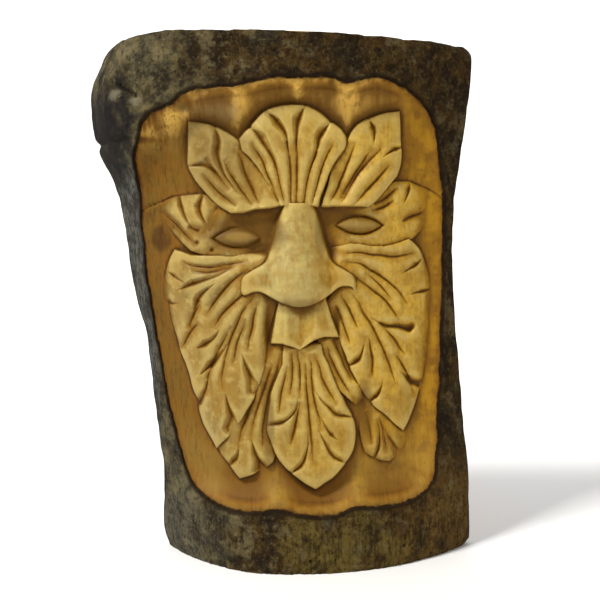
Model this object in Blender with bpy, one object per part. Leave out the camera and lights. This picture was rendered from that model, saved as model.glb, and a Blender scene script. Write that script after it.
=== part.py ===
"""A leafy face carved in relief into the bark covered front of a flat backed log slab.

Metres, +Z up, the carved front faces -Y. The slab stands on its sawn lower end.
The carving is drawn on a grid of squares, as a carver squares up a sketch: the first
number of a place runs to the right of the slab's middle, the second up from its base.
"""
import bmesh
import bpy
import numpy as np
from mathutils.geometry import delaunay_2d_cdt

# Sizes of the slab
SLAB_HEIGHT = 0.500
SLAB_WIDTH = 0.382
SLAB_DEPTH = 0.104
SIDE_BAND = 0.012

# Depths of the carving, measured from the bark or from the sunk ground
BARK_THICKNESS = 0.003
GROUND_SINK_RIM = 0.011
GROUND_SINK_MIDDLE = 0.026
COVE_WIDTH = 0.034
GOUGE_DEPTH = 0.0060
GROUND_LINE_WIDTH = 0.0030
GROUND_LINE_DEPTH = 0.0016
CUT_DEPTH = 0.0056
FLUTE_WIDTH = 0.0096
FLUTE_DEPTH = 0.0044
LEAF_DOME = 0.0022
LEAF_ROUNDING = 0.014
LEAF_LEVEL = 0.0115
FACE_FALL = 0.0050
FACE_LEVEL = 0.0072
FACE_ROUNDING = 0.0025
FACE_EDGE_FALL = 0.040
EYE_LEVEL = 0.0050
EYE_ROUNDING = 0.0026
EYE_HALF_LENGTH = 0.0225
EYE_HALF_HEIGHT = 0.0092
EYE_GROOVE = 0.0014
NOSE_TIP = 0.0280
LIP_LEVEL = 0.0165
KNOT_RISE = 0.010
KNOT_HOLLOW = 0.007
BARK_LUMPS = 0.0018

# Roundness of the log: where its crown is across it, and the power of each side's curve, each at
# the base and at the top
CROWN = (0.41, 0.39)
LEFT_ROUNDNESS = (2.2, 4.4)
RIGHT_ROUNDNESS = (2.3, 1.9)

# The drawing's grid
GRID_ROWS = 500
GRID_COLUMNS = 382
ACROSS = SLAB_WIDTH / GRID_COLUMNS
UP = SLAB_HEIGHT / GRID_ROWS

# Sides of the slab, seen from the front, from the base up
LEFT_SIDE = ((-117, 0), (-123, 25), (-122, 80), (-126, 105), (-129, 134), (-137, 208), (-148, 251),
             (-155, 287), (-161, 333), (-170, 368), (-181, 389), (-184, 397), (-183, 403), (-188, 411),
             (-191, 440), (-189, 460), (-182, 477), (-177, 489), (-172, 496), (-166, 500))
RIGHT_SIDE = ((183, 0), (187, 5), (189, 16), (187, 80), (180, 141), (174, 208), (170, 279), (171, 351),
              (178, 404), (184, 457), (186, 485), (184, 494), (178, 500))

# Edge of the sunk ground
RECESS = ((-135, 402), (-130, 418), (-120, 428), (-105, 433), (-88, 445), (-59, 451), (-40, 452), (-12, 459),
          (14, 460), (44, 461), (60, 457), (84, 463), (101, 461), (122, 452), (137, 438), (149, 415),
          (154, 385), (158, 350), (158, 280), (156, 210), (153, 140), (150, 92), (145, 73), (124, 60),
          (95, 57), (70, 59), (44, 53), (17, 54), (-4, 59), (-29, 55), (-56, 57), (-79, 66),
          (-94, 83), (-105, 117), (-115, 158), (-124, 211), (-131, 264), (-135, 316), (-136, 349), (-139, 382))

# The stub of a cut branch and the crack in it: (place, half width, half height) and
# (place, half length, half width, slant in radians)
KNOT_MOUND = ((-160, 432), 24, 34)
KNOT_CRACK = ((-146, 449), 15, 5, -0.49)
KNOT_SHOULDER = 20

# Where the ground's gouge facets meet, along its top and its bottom, with the heights on the
# slab at which they are full and at which they have run out
TOP_GOUGES = ((-90, -41, 14, 60, 117), 450, 385)
BOTTOM_GOUGES = ((-66, -6, 72, 134), 60, 125)

# A cut is CUT_DEPTH deep where it is CUT_SPAN squares wide each way. It is widest at that share of
# its length, and on its upper left it slopes in from so many times as far.
CUT_SPAN = 4
CUT_WIDEST_AT = 0.3
CUT_SLANT = 2.0
UPPER_LEFT = (-0.5, 0.87)

# A leaf is (level, corners, cuts, flutes). A corner's third number is how far the side that starts
# there bows out, in hundredths of its length. A cut is (half width at its outer end, half width
# where it is widest, its line inwards), and a flute is a soft valley.
LEAVES = (
    # left beard leaf
    (0.72, (
        (-18, 262, 0), (10, 262, 0), (9, 185, 0), (-4, 138, 5), (-10, 101, 4), (-24, 91, 4), (-41, 83, 4),
        (-53, 98, 3), (-62, 114, 0), (-32, 180, 0),
    ), (
        (1.5, 2.5, ((-52, 94), (-44, 104), (-42, 117))),
        (6, 3.5, ((-20, 96), (-26, 108), (-30, 123))),
    ), (
        ((-20, 111), (-18, 137), (-13, 163), (-5, 189), (-2, 206)),
        ((-31, 121), (-26, 146), (-17, 172), (-10, 197)),
        ((-44, 114), (-37, 137), (-29, 159), (-19, 180)),
        ((-12, 118), (-9, 144), (-3, 172)),
    )),
    # right beard leaf
    (0.62, (
        (67, 178, 0), (113, 137, 0), (122, 124, 8), (112, 104, 8), (103, 97, 8), (91, 100, 4),
        (78, 108, 6), (74, 140, 0),
    ), (
        (1.5, 2.5, ((88, 101), (93, 113), (93, 126), (89, 139))),
        (3, 2.5, ((112, 103), (104, 117), (98, 129))),
    ), (
        ((85, 114), (83, 130), (79, 147)),
        ((101, 103), (98, 121), (91, 141)),
    )),
    # strands beside the chin
    (0.88, (
        (31, 219, 0), (54, 220, 0), (64, 196, 4), (76, 161, 0), (70, 154, 0), (54, 168, 3), (39, 200, 0),
    ), (
    ), (
        ((41, 215), (47, 194), (59, 172), (68, 159)),
        ((47, 218), (56, 197), (66, 175)),
        ((55, 217), (62, 197), (71, 174)),
    )),
    # middle beard leaf
    (1.10, (
        (1, 213, 0), (35, 213, -3), (66, 143, 12), (59, 99, 4), (31, 76, 4), (9, 91, 10), (-14, 136, 6),
        (1, 194, 0),
    ), (
        (2, 2.5, ((67, 142), (52, 146), (40, 156), (29, 171))),
        (2, 2.5, ((60, 99), (48, 107), (39, 120), (33, 135))),
        (2, 2.5, ((7, 90), (18, 99), (23, 112), (24, 126))),
        (2, 2.5, ((-16, 136), (1, 141), (11, 150), (15, 164))),
        (0.5, 2, ((52, 122), (44, 129), (35, 144))),
    ), (
        ((29, 97), (26, 133), (23, 171), (20, 208)),
        ((7, 116), (12, 137), (16, 161)),
        ((17, 161), (16, 188), (14, 208)),
        ((52, 153), (39, 178), (29, 206)),
        ((7, 162), (9, 184), (9, 207)),
        ((37, 131), (30, 161), (25, 206)),
        ((-4, 148), (0, 171), (5, 193)),
    )),
    # left moustache leaf
    (1.00, (
        (-13, 299, 0), (-5, 252, 0), (-15, 218, 0), (-18, 192, 6), (-35, 150, 4), (-63, 112, 0),
        (-76, 134, 3), (-81, 154, 0), (-93, 190, 3), (-105, 229, 4), (-109, 250, 0), (-113, 254, 10),
        (-109, 286, 4), (-101, 300, 0), (-86, 296, 0), (-48, 295, 0),
    ), (
        (4, 3, ((-81, 154), (-75, 165), (-71, 176))),
        (0.5, 2, ((-114, 252), (-106, 250), (-98, 250))),
        (0.5, 2, ((-109, 280), (-100, 274), (-92, 270))),
        (0.5, 3, ((-100, 263), (-86, 268), (-73, 273), (-61, 277), (-48, 284))),
        (0.5, 3, ((-84, 244), (-80, 254), (-73, 262), (-63, 270))),
        (1, 3, ((-80, 208), (-73, 212), (-66, 217), (-59, 226))),
        (1, 3, ((-77, 183), (-67, 193), (-59, 202), (-50, 216))),
        (6, 4, ((-46, 134), (-49, 149), (-54, 166))),
        (6, 4, ((-24, 172), (-31, 186), (-38, 205))),
    ), (
        ((-96, 290), (-80, 286), (-65, 285), (-47, 288), (-30, 292)),
        ((-73, 239), (-62, 255), (-49, 270), (-31, 285)),
        ((-65, 227), (-56, 242), (-43, 255), (-28, 266)),
        ((-33, 206), (-29, 229), (-22, 255)),
        ((-57, 168), (-56, 191), (-49, 217), (-37, 244), (-25, 261)),
        ((-47, 191), (-43, 213), (-34, 238)),
        ((-90, 225), (-84, 241), (-76, 255)),
        ((-73, 161), (-70, 182), (-61, 206), (-47, 231)),
        ((-86, 282), (-67, 280), (-44, 286)),
        ((-98, 205), (-90, 220), (-78, 234)),
    )),
    # right moustache leaf
    (1.00, (
        (40, 301, 0), (63, 307, 0), (97, 303, 0), (121, 310, 5), (135, 296, 4), (145, 268, 3),
        (142, 217, 3), (132, 160, 3), (116, 126, 0), (86, 153, 3), (65, 187, 0), (64, 192, 3),
        (52, 222, 0), (40, 252, 0), (49, 264, 0),
    ), (
        (1, 2.5, ((134, 291), (125, 283), (115, 277))),
        (1, 2.5, ((143, 261), (133, 259), (122, 258))),
        (5, 4, ((122, 224), (111, 226), (97, 228), (84, 236))),
        (4, 3.5, ((132, 168), (121, 174), (112, 184))),
        (2, 3, ((83, 156), (92, 165), (96, 177))),
        (2, 3, ((64, 192), (73, 200), (78, 214))),
    ), (
        ((131, 298), (107, 294), (82, 297), (50, 299)),
        ((123, 246), (110, 262), (92, 277), (73, 287), (54, 290)),
        ((114, 231), (100, 249), (82, 266), (63, 278)),
        ((106, 251), (92, 268), (77, 281)),
        ((110, 166), (101, 192), (89, 219), (77, 241), (63, 263)),
        ((119, 198), (104, 217), (90, 232)),
        ((72, 226), (63, 244), (54, 260)),
        ((84, 178), (85, 199), (80, 221)),
        ((63, 212), (57, 231), (49, 251)),
        ((129, 157), (119, 181), (106, 203)),
    )),
    # left temple leaf
    (0.81, (
        (-123, 338, 3), (-109, 348, 3), (-95, 351, 5), (-74, 352, 5), (-45, 335, 0), (-50, 310, 0),
        (-72, 296, 0), (-86, 301, 3), (-105, 320, 3),
    ), (
        (1.5, 2.5, ((-96, 352), (-94, 341), (-90, 330), (-85, 321))),
        (1.5, 3, ((-74, 352), (-77, 340), (-73, 328), (-67, 319))),
    ), (
        ((-115, 337), (-103, 327), (-92, 316), (-79, 305)),
        ((-61, 343), (-64, 331), (-69, 318)),
        ((-89, 323), (-80, 319), (-70, 319)),
    )),
    # right temple leaf
    (0.80, (
        (59, 307, 0), (65, 338, 0), (100, 364, 4), (123, 366, 4), (143, 357, 8), (143, 337, 8),
        (133, 318, 6), (117, 307, 4), (97, 303, 0),
    ), (
        (1, 2.5, ((123, 365), (121, 354), (117, 345))),
    ), (
        ((108, 349), (96, 342), (84, 338)),
        ((140, 339), (127, 334), (114, 327)),
        ((110, 360), (98, 351), (86, 344)),
    )),
)

# Leaves that rise from the brow, where their lower ends are cut off along one line
BROW_LINE = ((-60, 333), (-45, 336), (0, 343), (120, 342))
BROW_LEAVES = (
    # left brow leaf
    (1.05, (
        (-47, 335, 8), (-86, 376, 0), (-87, 381, 0), (-87, 419, 3), (-63, 414, 3), (-41, 402, 0),
        (-19, 375, 0), (1, 335, 0),
    ), (
        (2, 3.5, ((-63, 415), (-59, 401), (-60, 386), (-51, 367), (-39, 351))),
        (1, 2, ((-88, 378), (-73, 379), (-62, 373), (-52, 362))),
    ), (
        ((-74, 373), (-63, 358), (-41, 340)),
        ((-55, 384), (-43, 364), (-26, 340)),
        ((-43, 395), (-33, 369), (-19, 340)),
        ((-72, 386), (-61, 371), (-48, 355)),
    )),
    # right brow leaf
    (1.05, (
        (35, 336, 0), (47, 380, 0), (62, 406, 10), (82, 424, 3), (111, 433, 0), (113, 399, 8),
        (108, 371, 3), (75, 337, 0),
    ), (
        (1.5, 3, ((82, 424), (87, 413), (86, 399))),
        (1.5, 3, ((114, 399), (103, 394), (95, 388))),
    ), (
        ((95, 398), (78, 381), (63, 359), (52, 341)),
        ((104, 384), (86, 365), (65, 341)),
        ((69, 402), (59, 377), (44, 342)),
        ((84, 398), (69, 374), (52, 346)),
    )),
    # fan leaf over the forehead
    (1.33, (
        (0, 336, 0), (-4, 347, -4), (-37, 393, 0), (-39, 403, 8), (-29, 413, 10), (-14, 429, 8),
        (20, 434, 6), (44, 419, 8), (58, 406, 12), (58, 396, -6), (33, 344, 0), (31, 336, 0),
    ), (
        (1.5, 3.5, ((-30, 414), (-19, 402), (-12, 391), (-4, 373))),
        (1.5, 3.5, ((-15, 428), (-4, 419), (3, 407), (6, 391))),
        (1.5, 3.5, ((21, 435), (15, 420), (13, 406), (12, 391))),
        (1.5, 3.5, ((45, 420), (36, 406), (32, 393), (26, 378))),
    ), (
        ((-15, 393), (-5, 373), (3, 336)),
        ((4, 402), (7, 375), (8, 336)),
        ((13, 404), (13, 375), (13, 336)),
        ((32, 393), (24, 371), (19, 336)),
        ((48, 403), (36, 377), (26, 336)),
        ((-29, 402), (-17, 379), (-2, 342)),
    )),
)

# The flat of the face and the rounding that the leaves fall away on: (place, half width, half height)
FACE_ROUND = ((14, 310), 92, 48)
FALL_ROUND = ((14, 255), 130, 215)

EYES = ((-43, 312), (73, 324))

# Hollows: (place, half width, half height, depth). The sockets and the eye hollows sink the face
# under the brows, the brow hollows sink the brow leaves beside the fan, the pits sink all by the nose
SOCKETS = (((-22, 330), 30, 12, 0.0075), ((48, 334), 24, 9, 0.0065), ((-20, 310), 15, 17, 0.0045),
           ((43, 312), 12, 17, 0.0050))
EYE_HOLLOWS = (((-46, 313), 27, 13, 0.0030), ((76, 324), 28, 12, 0.0028))
BROW_HOLLOWS = (((-26, 365), 12, 30, 0.0035), ((53, 362), 10, 28, 0.0030))
PITS = (((42, 299), 9, 7, 0.0075), ((72, 152), 9, 13, 0.0060), ((-20, 301), 14, 4, 0.0050),
        ((36, 318), 6, 16, 0.0030), ((-10, 318), 7, 18, 0.0030), ((-13, 228), 6, 28, 0.0070),
        ((50, 230), 4, 20, 0.0040))

# The nose from its top down: (place up, half width, half width of the ridge, height of the ridge,
# height of the wings), the heights as shares of the tip's, and the line of its underside
NOSE_MIDDLE = 15
NOSE_TOP = 344
NOSE_TURN = 17
NOSE_SIDE_SLOPE = 1.8
NOSE_ROWS = ((345, 12, 15, 0.50, 0.36), (324, 18, 20, 0.60, 0.38), (305, 23, 26, 0.74, 0.42),
             (290, 30, 29, 0.90, 0.51), (283, 41, 30, 0.96, 0.56), (276, 50, 30, 1.0, 0.58),
             (265, 52, 30, 1.0, 0.58), (255, 48, 29, 0.94, 0.54), (246, 42, 28, 0.86, 0.48))
NOSE_UNDERSIDE = ((-36, 260), (-32, 261), (-27, 263), (-20, 263), (-10, 258), (2, 252), (16, 249),
                  (30, 252), (42, 259), (51, 266), (57, 268), (64, 267), (67, 264))

# The mouth block: its sides as (up, across), its underside and its facets' levels by place across
LIP_TOP = 262
LIP_LEFT = ((214, -10), (255, -3))
LIP_RIGHT = ((220, 52), (238, 45), (255, 40))
LIP_BOTTOM = ((-10, 215), (0, 215), (9, 212), (16, 209), (22, 213), (30, 219), (39, 221), (52, 220))
LIP_FACETS = ((-12, 0.60), (3, 1.0), (17, 0.80), (31, 1.0), (54, 0.58))

# Lines cut in the ground between the temple leaves and the bark
GROUND_LINES = (((-141, 334), (-128, 341), (-113, 347), (-97, 353)),
                ((122, 367), (137, 362), (150, 355), (158, 349)))

# How steep the carving's walls are, how far its outlines wander and over what length, the length
# of the bark's lumps, and how close to the sawn ends they stop
WALL_SLOPE = 3.2
OUTLINE_WANDER = 0.8
WANDER_LENGTH = 12
LUMP_LENGTH = 34
PLAIN_END = 12
NOWHERE = -1.0

# How finely the solid follows the carving
FRONT_TRIANGLES = 9000
SIDE_STEPS = 60
END_STEPS = 40
EDGE_CLEAR = 0.006


def smooth_line(points, steps=8):
    """A flowing line through the points."""
    given = np.array(points, float)
    held = np.vstack([2 * given[0] - given[1], given, 2 * given[-1] - given[-2]])
    line = []
    for i in range(1, len(held) - 2):
        before, here, there, after = held[i - 1:i + 3]
        for t in np.arange(steps) / steps:
            line.append(here + 0.5 * t * (there - before)
                        + t * t * (before - 2.5 * here + 2 * there - 0.5 * after)
                        + 0.5 * t ** 3 * (3 * here - before - 3 * there + after))
    line.append(given[-1])
    return np.array(line)


def bowed_outline(corners, steps=6):
    """A closed line round the corners, with each side bowed out."""
    line = []
    for (a0, b0, bow), (a1, b1, _) in zip(corners, corners[1:] + corners[:1]):
        t = np.arange(steps) / steps if bow else np.zeros(1)
        out = 4 * t * (1 - t) * bow / 100
        line.extend(zip(a0 + t * (a1 - a0) - out * (b1 - b0), b0 + t * (b1 - b0) + out * (a1 - a0)))
    line.append(line[0])
    return np.array(line)


def nearest(line, a, b):
    """Distance to the line, and the share of its length where it is nearest."""
    lengths = np.hypot(*np.diff(line, axis=0).T)
    runs = np.concatenate([[0], np.cumsum(lengths)])
    distance = np.full(a.shape, np.inf)
    share = np.zeros(a.shape)
    for start, end, length, run in zip(line[:-1], line[1:], lengths, runs):
        along_a, along_b = (end - start) / length
        t = np.clip((a - start[0]) * along_a + (b - start[1]) * along_b, 0, length)
        gap = np.hypot(a - start[0] - t * along_a, b - start[1] - t * along_b)
        closer = gap < distance
        distance[closer] = gap[closer]
        share[closer] = (run + t[closer]) / runs[-1]
    return distance, share


def close_to(line, reach, a, b):
    low, high = line.min(axis=0) - reach, line.max(axis=0) + reach
    return (a > low[0]) & (a < high[0]) & (b > low[1]) & (b < high[1])


def inside(line, a, b):
    """Whether each place is inside the closed line."""
    result = np.zeros(a.shape, bool)
    for (a0, b0), (a1, b1) in zip(line[:-1], line[1:]):
        if b0 != b1:
            result ^= ((b0 > b) != (b1 > b)) & (a < (a1 - a0) * (b - b0) / (b1 - b0) + a0)
    return result


def side_at(side, b):
    line = smooth_line(side)
    return np.interp(b, line[:, 1], line[:, 0])


def soft_noise(a, b, wavelength, seed):
    """Smooth hills and hollows between -1 and 1."""
    x, y = a / wavelength, b / wavelength
    ix, iy = np.floor(x).astype(int), np.floor(y).astype(int)
    fx, fy = x - ix, y - iy
    fx, fy = fx * fx * (3 - 2 * fx), fy * fy * (3 - 2 * fy)

    def corner(dx, dy):
        number = np.sin((ix + dx) * 127.1 + (iy + dy) * 311.7 + seed * 74.7) * 43758.5453
        return 2 * (number - np.floor(number)) - 1

    low = corner(0, 0) * (1 - fx) + corner(1, 0) * fx
    high = corner(0, 1) * (1 - fx) + corner(1, 1) * fx
    return low * (1 - fy) + high * fy


def log_surface(a, b):
    """Height of the log's rounded front above the back, and the share of the way out to its sides."""
    left, right = side_at(LEFT_SIDE, b), side_at(RIGHT_SIDE, b)
    rise = np.clip(b / GRID_ROWS, 0, 1)
    across = np.clip((a - left) / (right - left), 0, 1)
    crown = np.interp(rise, (0, 1), CROWN)
    on_left = across < crown
    out = np.where(on_left, (crown - across) / crown, (across - crown) / (1 - crown))
    left_power = np.interp(rise ** 2, (0, 1), LEFT_ROUNDNESS)
    power = np.where(on_left, left_power, np.interp(rise, (0, 1), RIGHT_ROUNDNESS))
    return SIDE_BAND + (SLAB_DEPTH - SIDE_BAND) * (1 - out ** power), out


def knot(a, b):
    """The stub of a cut branch: a low mound with a slanting crack in it."""
    (at_a, at_b), half_width, half_height = KNOT_MOUND
    mound = np.exp(-((a - at_a) / half_width) ** 2 - ((b - at_b) / half_height) ** 2)
    (at_a, at_b), half_length, half_width, slant = KNOT_CRACK
    along = (a - at_a) * np.cos(slant) + (b - at_b) * np.sin(slant)
    off = (b - at_b) * np.cos(slant) - (a - at_a) * np.sin(slant)
    crack = np.exp(-(along / half_length) ** 2 - (off / half_width) ** 2)
    from_side = np.clip((a - side_at(LEFT_SIDE, b)) / KNOT_SHOULDER, 0, 1)
    return KNOT_RISE * mound * from_side - KNOT_HOLLOW * crack


def gouge_facets(a, b):
    """Shallow hollows left by a wide gouge along the top and the bottom of the ground."""
    sunk = np.zeros(a.shape)
    for ridges, full, gone in (TOP_GOUGES, BOTTOM_GOUGES):
        fade = np.clip((b - gone) / (full - gone), 0, 1)
        for start, end in zip(ridges[:-1], ridges[1:]):
            across = np.clip(2 * (a - start) / (end - start) - 1, -1, 1)
            sunk += GOUGE_DEPTH * (1 - across ** 2) * fade
    return sunk


def raise_leaf(a, b, corners, level):
    """Height of one leaf with rounded edges and steep walls."""
    outline = bowed_outline(corners)
    height = np.full(a.shape, NOWHERE)
    near = close_to(outline, 8, a, b)
    distance = nearest(outline, a[near], b[near])[0]
    within = inside(outline, a[near], b[near])
    dome = LEAF_DOME * (1 - np.clip(distance * UP / LEAF_ROUNDING, 0, 1)) ** 2
    height[near] = level - np.where(within, dome, LEAF_DOME + WALL_SLOPE * UP * distance)
    return height


def point_at(line, share):
    """The place on the line at that share of its length."""
    lengths = np.hypot(*np.diff(line, axis=0).T)
    shares = np.concatenate([[0], np.cumsum(lengths)]) / lengths.sum()
    return np.interp(share, shares, line[:, 0]), np.interp(share, shares, line[:, 1])


def sink_cut(a, b, height, cut):
    """Sinks a chip that tapers to nothing at its inner end, and deeper where it is wider. It slopes
    in gently from its upper left and ends in a steep side."""
    outer, widest, points = cut
    line = smooth_line(points)
    near = close_to(line, CUT_SLANT * max(outer, widest) + 1, a, b)
    distance, share = nearest(line, a[near], b[near])
    half_width = np.interp(share, (0, CUT_WIDEST_AT, 1), (outer, widest, 0.4))
    at_a, at_b = point_at(line, share)
    along_a, along_b = (line[-1] - line[0]) / np.hypot(*(line[-1] - line[0]))
    aside = along_a * (b[near] - at_b) - along_b * (a[near] - at_a)
    aside *= np.sign(along_a * UPPER_LEFT[1] - along_b * UPPER_LEFT[0]) / np.maximum(distance, 0.01)
    reach = half_width * (1 + (CUT_SLANT - 1) * np.clip(aside, 0, 1))
    height[near] -= CUT_DEPTH * half_width / CUT_SPAN * np.clip(1 - distance / reach, 0, 1)


def sink_flute(a, b, height, points, half_width, full_depth):
    """Sinks a valley with a crisp bottom that fades out at both of its ends."""
    line = smooth_line(points)
    near = close_to(line, half_width / UP + 2, a, b)
    distance, share = nearest(line, a[near], b[near])
    depth = full_depth * np.sin(np.pi * np.clip(share, 0, 1)) ** 0.6
    side = np.clip(1 - distance * UP / half_width, 0, 1)
    height[near] -= depth * (0.6 * side ** 1.4 + 0.4 * side ** 5)


def hollows(a, b, rows):
    """Depth of soft hollows."""
    depth = np.zeros(a.shape)
    for (at_a, at_b), half_width, half_height, deepest in rows:
        depth += deepest * np.exp(-((a - at_a) / half_width) ** 2 - ((b - at_b) / half_height) ** 2)
    return depth


def leaf_heights(a, b):
    """Height of all the leaves, which lie lower the farther out they are."""
    wander = [OUTLINE_WANDER * soft_noise(a, b, WANDER_LENGTH, seed) for seed in (17, 18)]
    a, b = a + wander[0], b + wander[1]
    relief = np.full(a.shape, NOWHERE)
    brow = np.interp(a, *np.transpose(BROW_LINE))
    (at_a, at_b), half_width, half_height = FALL_ROUND
    fall = FACE_FALL * (((a - at_a) / half_width) ** 2 + ((b - at_b) / half_height) ** 2)
    for leaf in LEAVES + BROW_LEAVES:
        level, corners, cuts, flutes = leaf
        layer = raise_leaf(a, b, corners, level * LEAF_LEVEL) - fall
        for cut in cuts:
            sink_cut(a, b, layer, cut)
        for points in flutes:
            sink_flute(a, b, layer, points, FLUTE_WIDTH, FLUTE_DEPTH)
        if leaf in BROW_LEAVES:
            layer -= WALL_SLOPE * UP * np.clip(brow - b, 0, None) + hollows(a, b, BROW_HOLLOWS)
        else:
            layer -= hollows(a, b, SOCKETS) + hollows(a, b, EYE_HOLLOWS)
        relief = np.maximum(relief, layer)
    return relief


def face_heights(a, b):
    """The flat of the face behind the leaves, with its sockets."""
    (at_a, at_b), half_width, half_height = FACE_ROUND
    out = ((a - at_a) / half_width) ** 2 + ((b - at_b) / half_height) ** 2
    height = FACE_LEVEL - FACE_ROUNDING * np.clip(out, 0, 1) - FACE_EDGE_FALL * np.clip(out - 1, 0, None)
    return height - hollows(a, b, SOCKETS) - hollows(a, b, EYE_HOLLOWS)


def add_eye(a, b, relief, at_a, at_b):
    """An almond with a groove round it."""
    along = np.abs(a - at_a) * ACROSS / EYE_HALF_LENGTH
    lid = EYE_HALF_HEIGHT / UP * (1 - np.clip(along, 0, 1) ** 2)
    up = np.abs(b - at_b)
    ball = EYE_LEVEL - EYE_ROUNDING * (0.5 * along ** 2 + (up * UP / EYE_HALF_HEIGHT) ** 1.5)
    relief = np.where(up < lid, ball, relief)
    groove = np.exp(-((up - lid) / 1.6) ** 2) * np.clip((1.12 - along) / 0.12, 0, 1)
    return relief - EYE_GROOVE * groove


def nose_heights(a, b):
    """A ridge that swells to a rounded tip between two low wings, with a curved underside."""
    rows = smooth_line(NOSE_ROWS, 4)[::-1]
    half_width, core, crest, wing = (np.interp(b, rows[:, 0], rows[:, n]) for n in (1, 2, 3, 4))
    under = np.interp(a, *smooth_line(NOSE_UNDERSIDE, 5).T)
    out = np.abs(a - NOSE_MIDDLE)
    bulge = np.clip(1 - (out / core) ** 2, 0, 1) ** 1.1
    rounded = 1 - 0.55 * (1 - np.clip((b - under) / NOSE_TURN, 0, 1)) ** 2
    edge = np.clip(out / half_width, 0, 1) ** 3
    height = NOSE_TIP * (wing * (1 - 0.16 * edge) + (crest - wing) * bulge * rounded)
    height -= NOSE_SIDE_SLOPE * UP * np.clip(out - half_width, 0, None)
    beyond = np.clip(b - NOSE_TOP, 0, None) + np.clip(under - b, 0, None)
    return height - WALL_SLOPE * UP * beyond


def lip_heights(a, b):
    """The mouth block under the nose, with a hollow down its middle."""
    left, right = (np.interp(b, *np.transpose(side)) for side in (LIP_LEFT, LIP_RIGHT))
    bottom = np.interp(a, *np.transpose(LIP_BOTTOM))
    facets = LIP_LEVEL * np.interp(a, *np.transpose(LIP_FACETS))
    beyond = np.maximum(np.maximum(left - a, a - right), bottom - b)
    height = facets - WALL_SLOPE * UP * np.clip(beyond, 0, None)
    return np.where(b > LIP_TOP, NOWHERE, height)


def front_height(a, b):
    """Height of the finished front above the flat back."""
    log, out = log_surface(a, b)
    edge = smooth_line(RECESS + RECESS[:1], 5)
    distance = nearest(edge, a, b)[0]
    sunk = inside(edge, a, b)
    lumps = soft_noise(a, b, LUMP_LENGTH, 1) + 0.5 * soft_noise(a, b, 0.45 * LUMP_LENGTH, 2)
    lumps *= np.clip(b / PLAIN_END, 0, 1) * np.clip((GRID_ROWS - b) / PLAIN_END, 0, 1)
    bark = log + BARK_LUMPS * lumps * (1 - out ** 4) + knot(a, b)

    sink = GROUND_SINK_RIM + (GROUND_SINK_MIDDLE - GROUND_SINK_RIM) * (1 - out ** 2)
    down = np.clip(distance * UP / COVE_WIDTH, 0, 1)
    step = BARK_THICKNESS * np.clip(distance / 1.5, 0, 1)
    cove = step + (sink - BARK_THICKNESS) * (1 - (1 - down) ** 2)
    cove += gouge_facets(a, b) * np.clip(distance / 10, 0, 1)
    for points in GROUND_LINES:
        sink_flute(a, b, log, points, GROUND_LINE_WIDTH, GROUND_LINE_DEPTH)

    relief = np.maximum(face_heights(a, b), leaf_heights(a, b)) - hollows(a, b, PITS)
    for at_a, at_b in EYES:
        relief = add_eye(a, b, relief, at_a, at_b)
    relief = np.maximum(relief, nose_heights(a, b))
    relief = np.maximum(relief, lip_heights(a, b))
    carved = np.maximum(log - cove, log - sink + relief)
    return np.where(sunk, carved, bark)


def place(s, t):
    """Place on the drawing, from the share across the slab and the share up it."""
    spread = s - 0.6 * np.sin(2 * np.pi * s) / (2 * np.pi)
    b = t * GRID_ROWS
    left, right = side_at(LEFT_SIDE, b), side_at(RIGHT_SIDE, b)
    return left + spread * (right - left), b


def dense_front(columns, rows):
    """The front as a fine grid of squares, laid out flat so that x and z are shares of the slab."""
    s, t = np.meshgrid(np.linspace(0, 1, columns), np.linspace(0, 1, rows))
    height = front_height(*place(s.ravel(), t.ravel()))
    grid = bmesh.new()
    bmesh.ops.create_grid(grid, x_segments=columns - 1, y_segments=rows - 1, size=0.5)
    for vertex in grid.verts:
        column = round((vertex.co.x + 0.5) * (columns - 1))
        row = round((vertex.co.y + 0.5) * (rows - 1))
        at = row * columns + column
        vertex.co = (s.flat[at] * SLAB_WIDTH, -height[at], t.flat[at] * SLAB_HEIGHT)
    data = bpy.data.meshes.new("front")
    grid.to_mesh(data)
    grid.free()
    return data


def thinned(data, triangles):
    """The corners and edges that are left when flat places are thinned out."""
    helper = bpy.data.objects.new("front", data)
    bpy.context.scene.collection.objects.link(helper)
    thinning = helper.modifiers.new("thin", "DECIMATE")
    thinning.ratio = triangles / (2 * len(data.polygons))
    thinning.use_collapse_triangulate = True
    result = bpy.data.meshes.new_from_object(helper.evaluated_get(bpy.context.evaluated_depsgraph_get()))
    corners = np.array([vertex.co for vertex in result.vertices])
    edges = np.array([edge.vertices[:] for edge in result.edges])
    bpy.data.objects.remove(helper, do_unlink=True)
    bpy.data.meshes.remove(result)
    return corners, edges


def fitted_front():
    """Places, heights and triangles of a light front that keeps the carving's edges."""
    corners, edges = thinned(dense_front(300, 400), FRONT_TRIANGLES)
    shares = corners[:, [0, 2]] / (SLAB_WIDTH, SLAB_HEIGHT)
    kept = np.all((shares > EDGE_CLEAR) & (shares < 1 - EDGE_CLEAR), axis=1)
    number = np.cumsum(kept) - 1
    edges = number[edges[kept[edges].all(axis=1)]]
    up, across = np.linspace(0, 1, SIDE_STEPS + 1), np.linspace(0, 1, END_STEPS + 1)[1:-1]
    rim = [(side, t) for side in (0.0, 1.0) for t in up] + [(s, end) for end in (0.0, 1.0) for s in across]
    inner = [tuple(point) for point in shares[kept]]
    flat = delaunay_2d_cdt(inner + rim, edges.tolist(), [], 0, 1e-6)
    points = np.array([tuple(point) for point in flat[0]])
    height = front_height(*place(points[:, 0], points[:, 1]))
    known = -corners[kept, 1]
    for index, sources in enumerate(flat[3]):
        if sources and sources[0] < len(known):
            height[index] = known[sources[0]]
    return points, height, flat[2]


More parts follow.
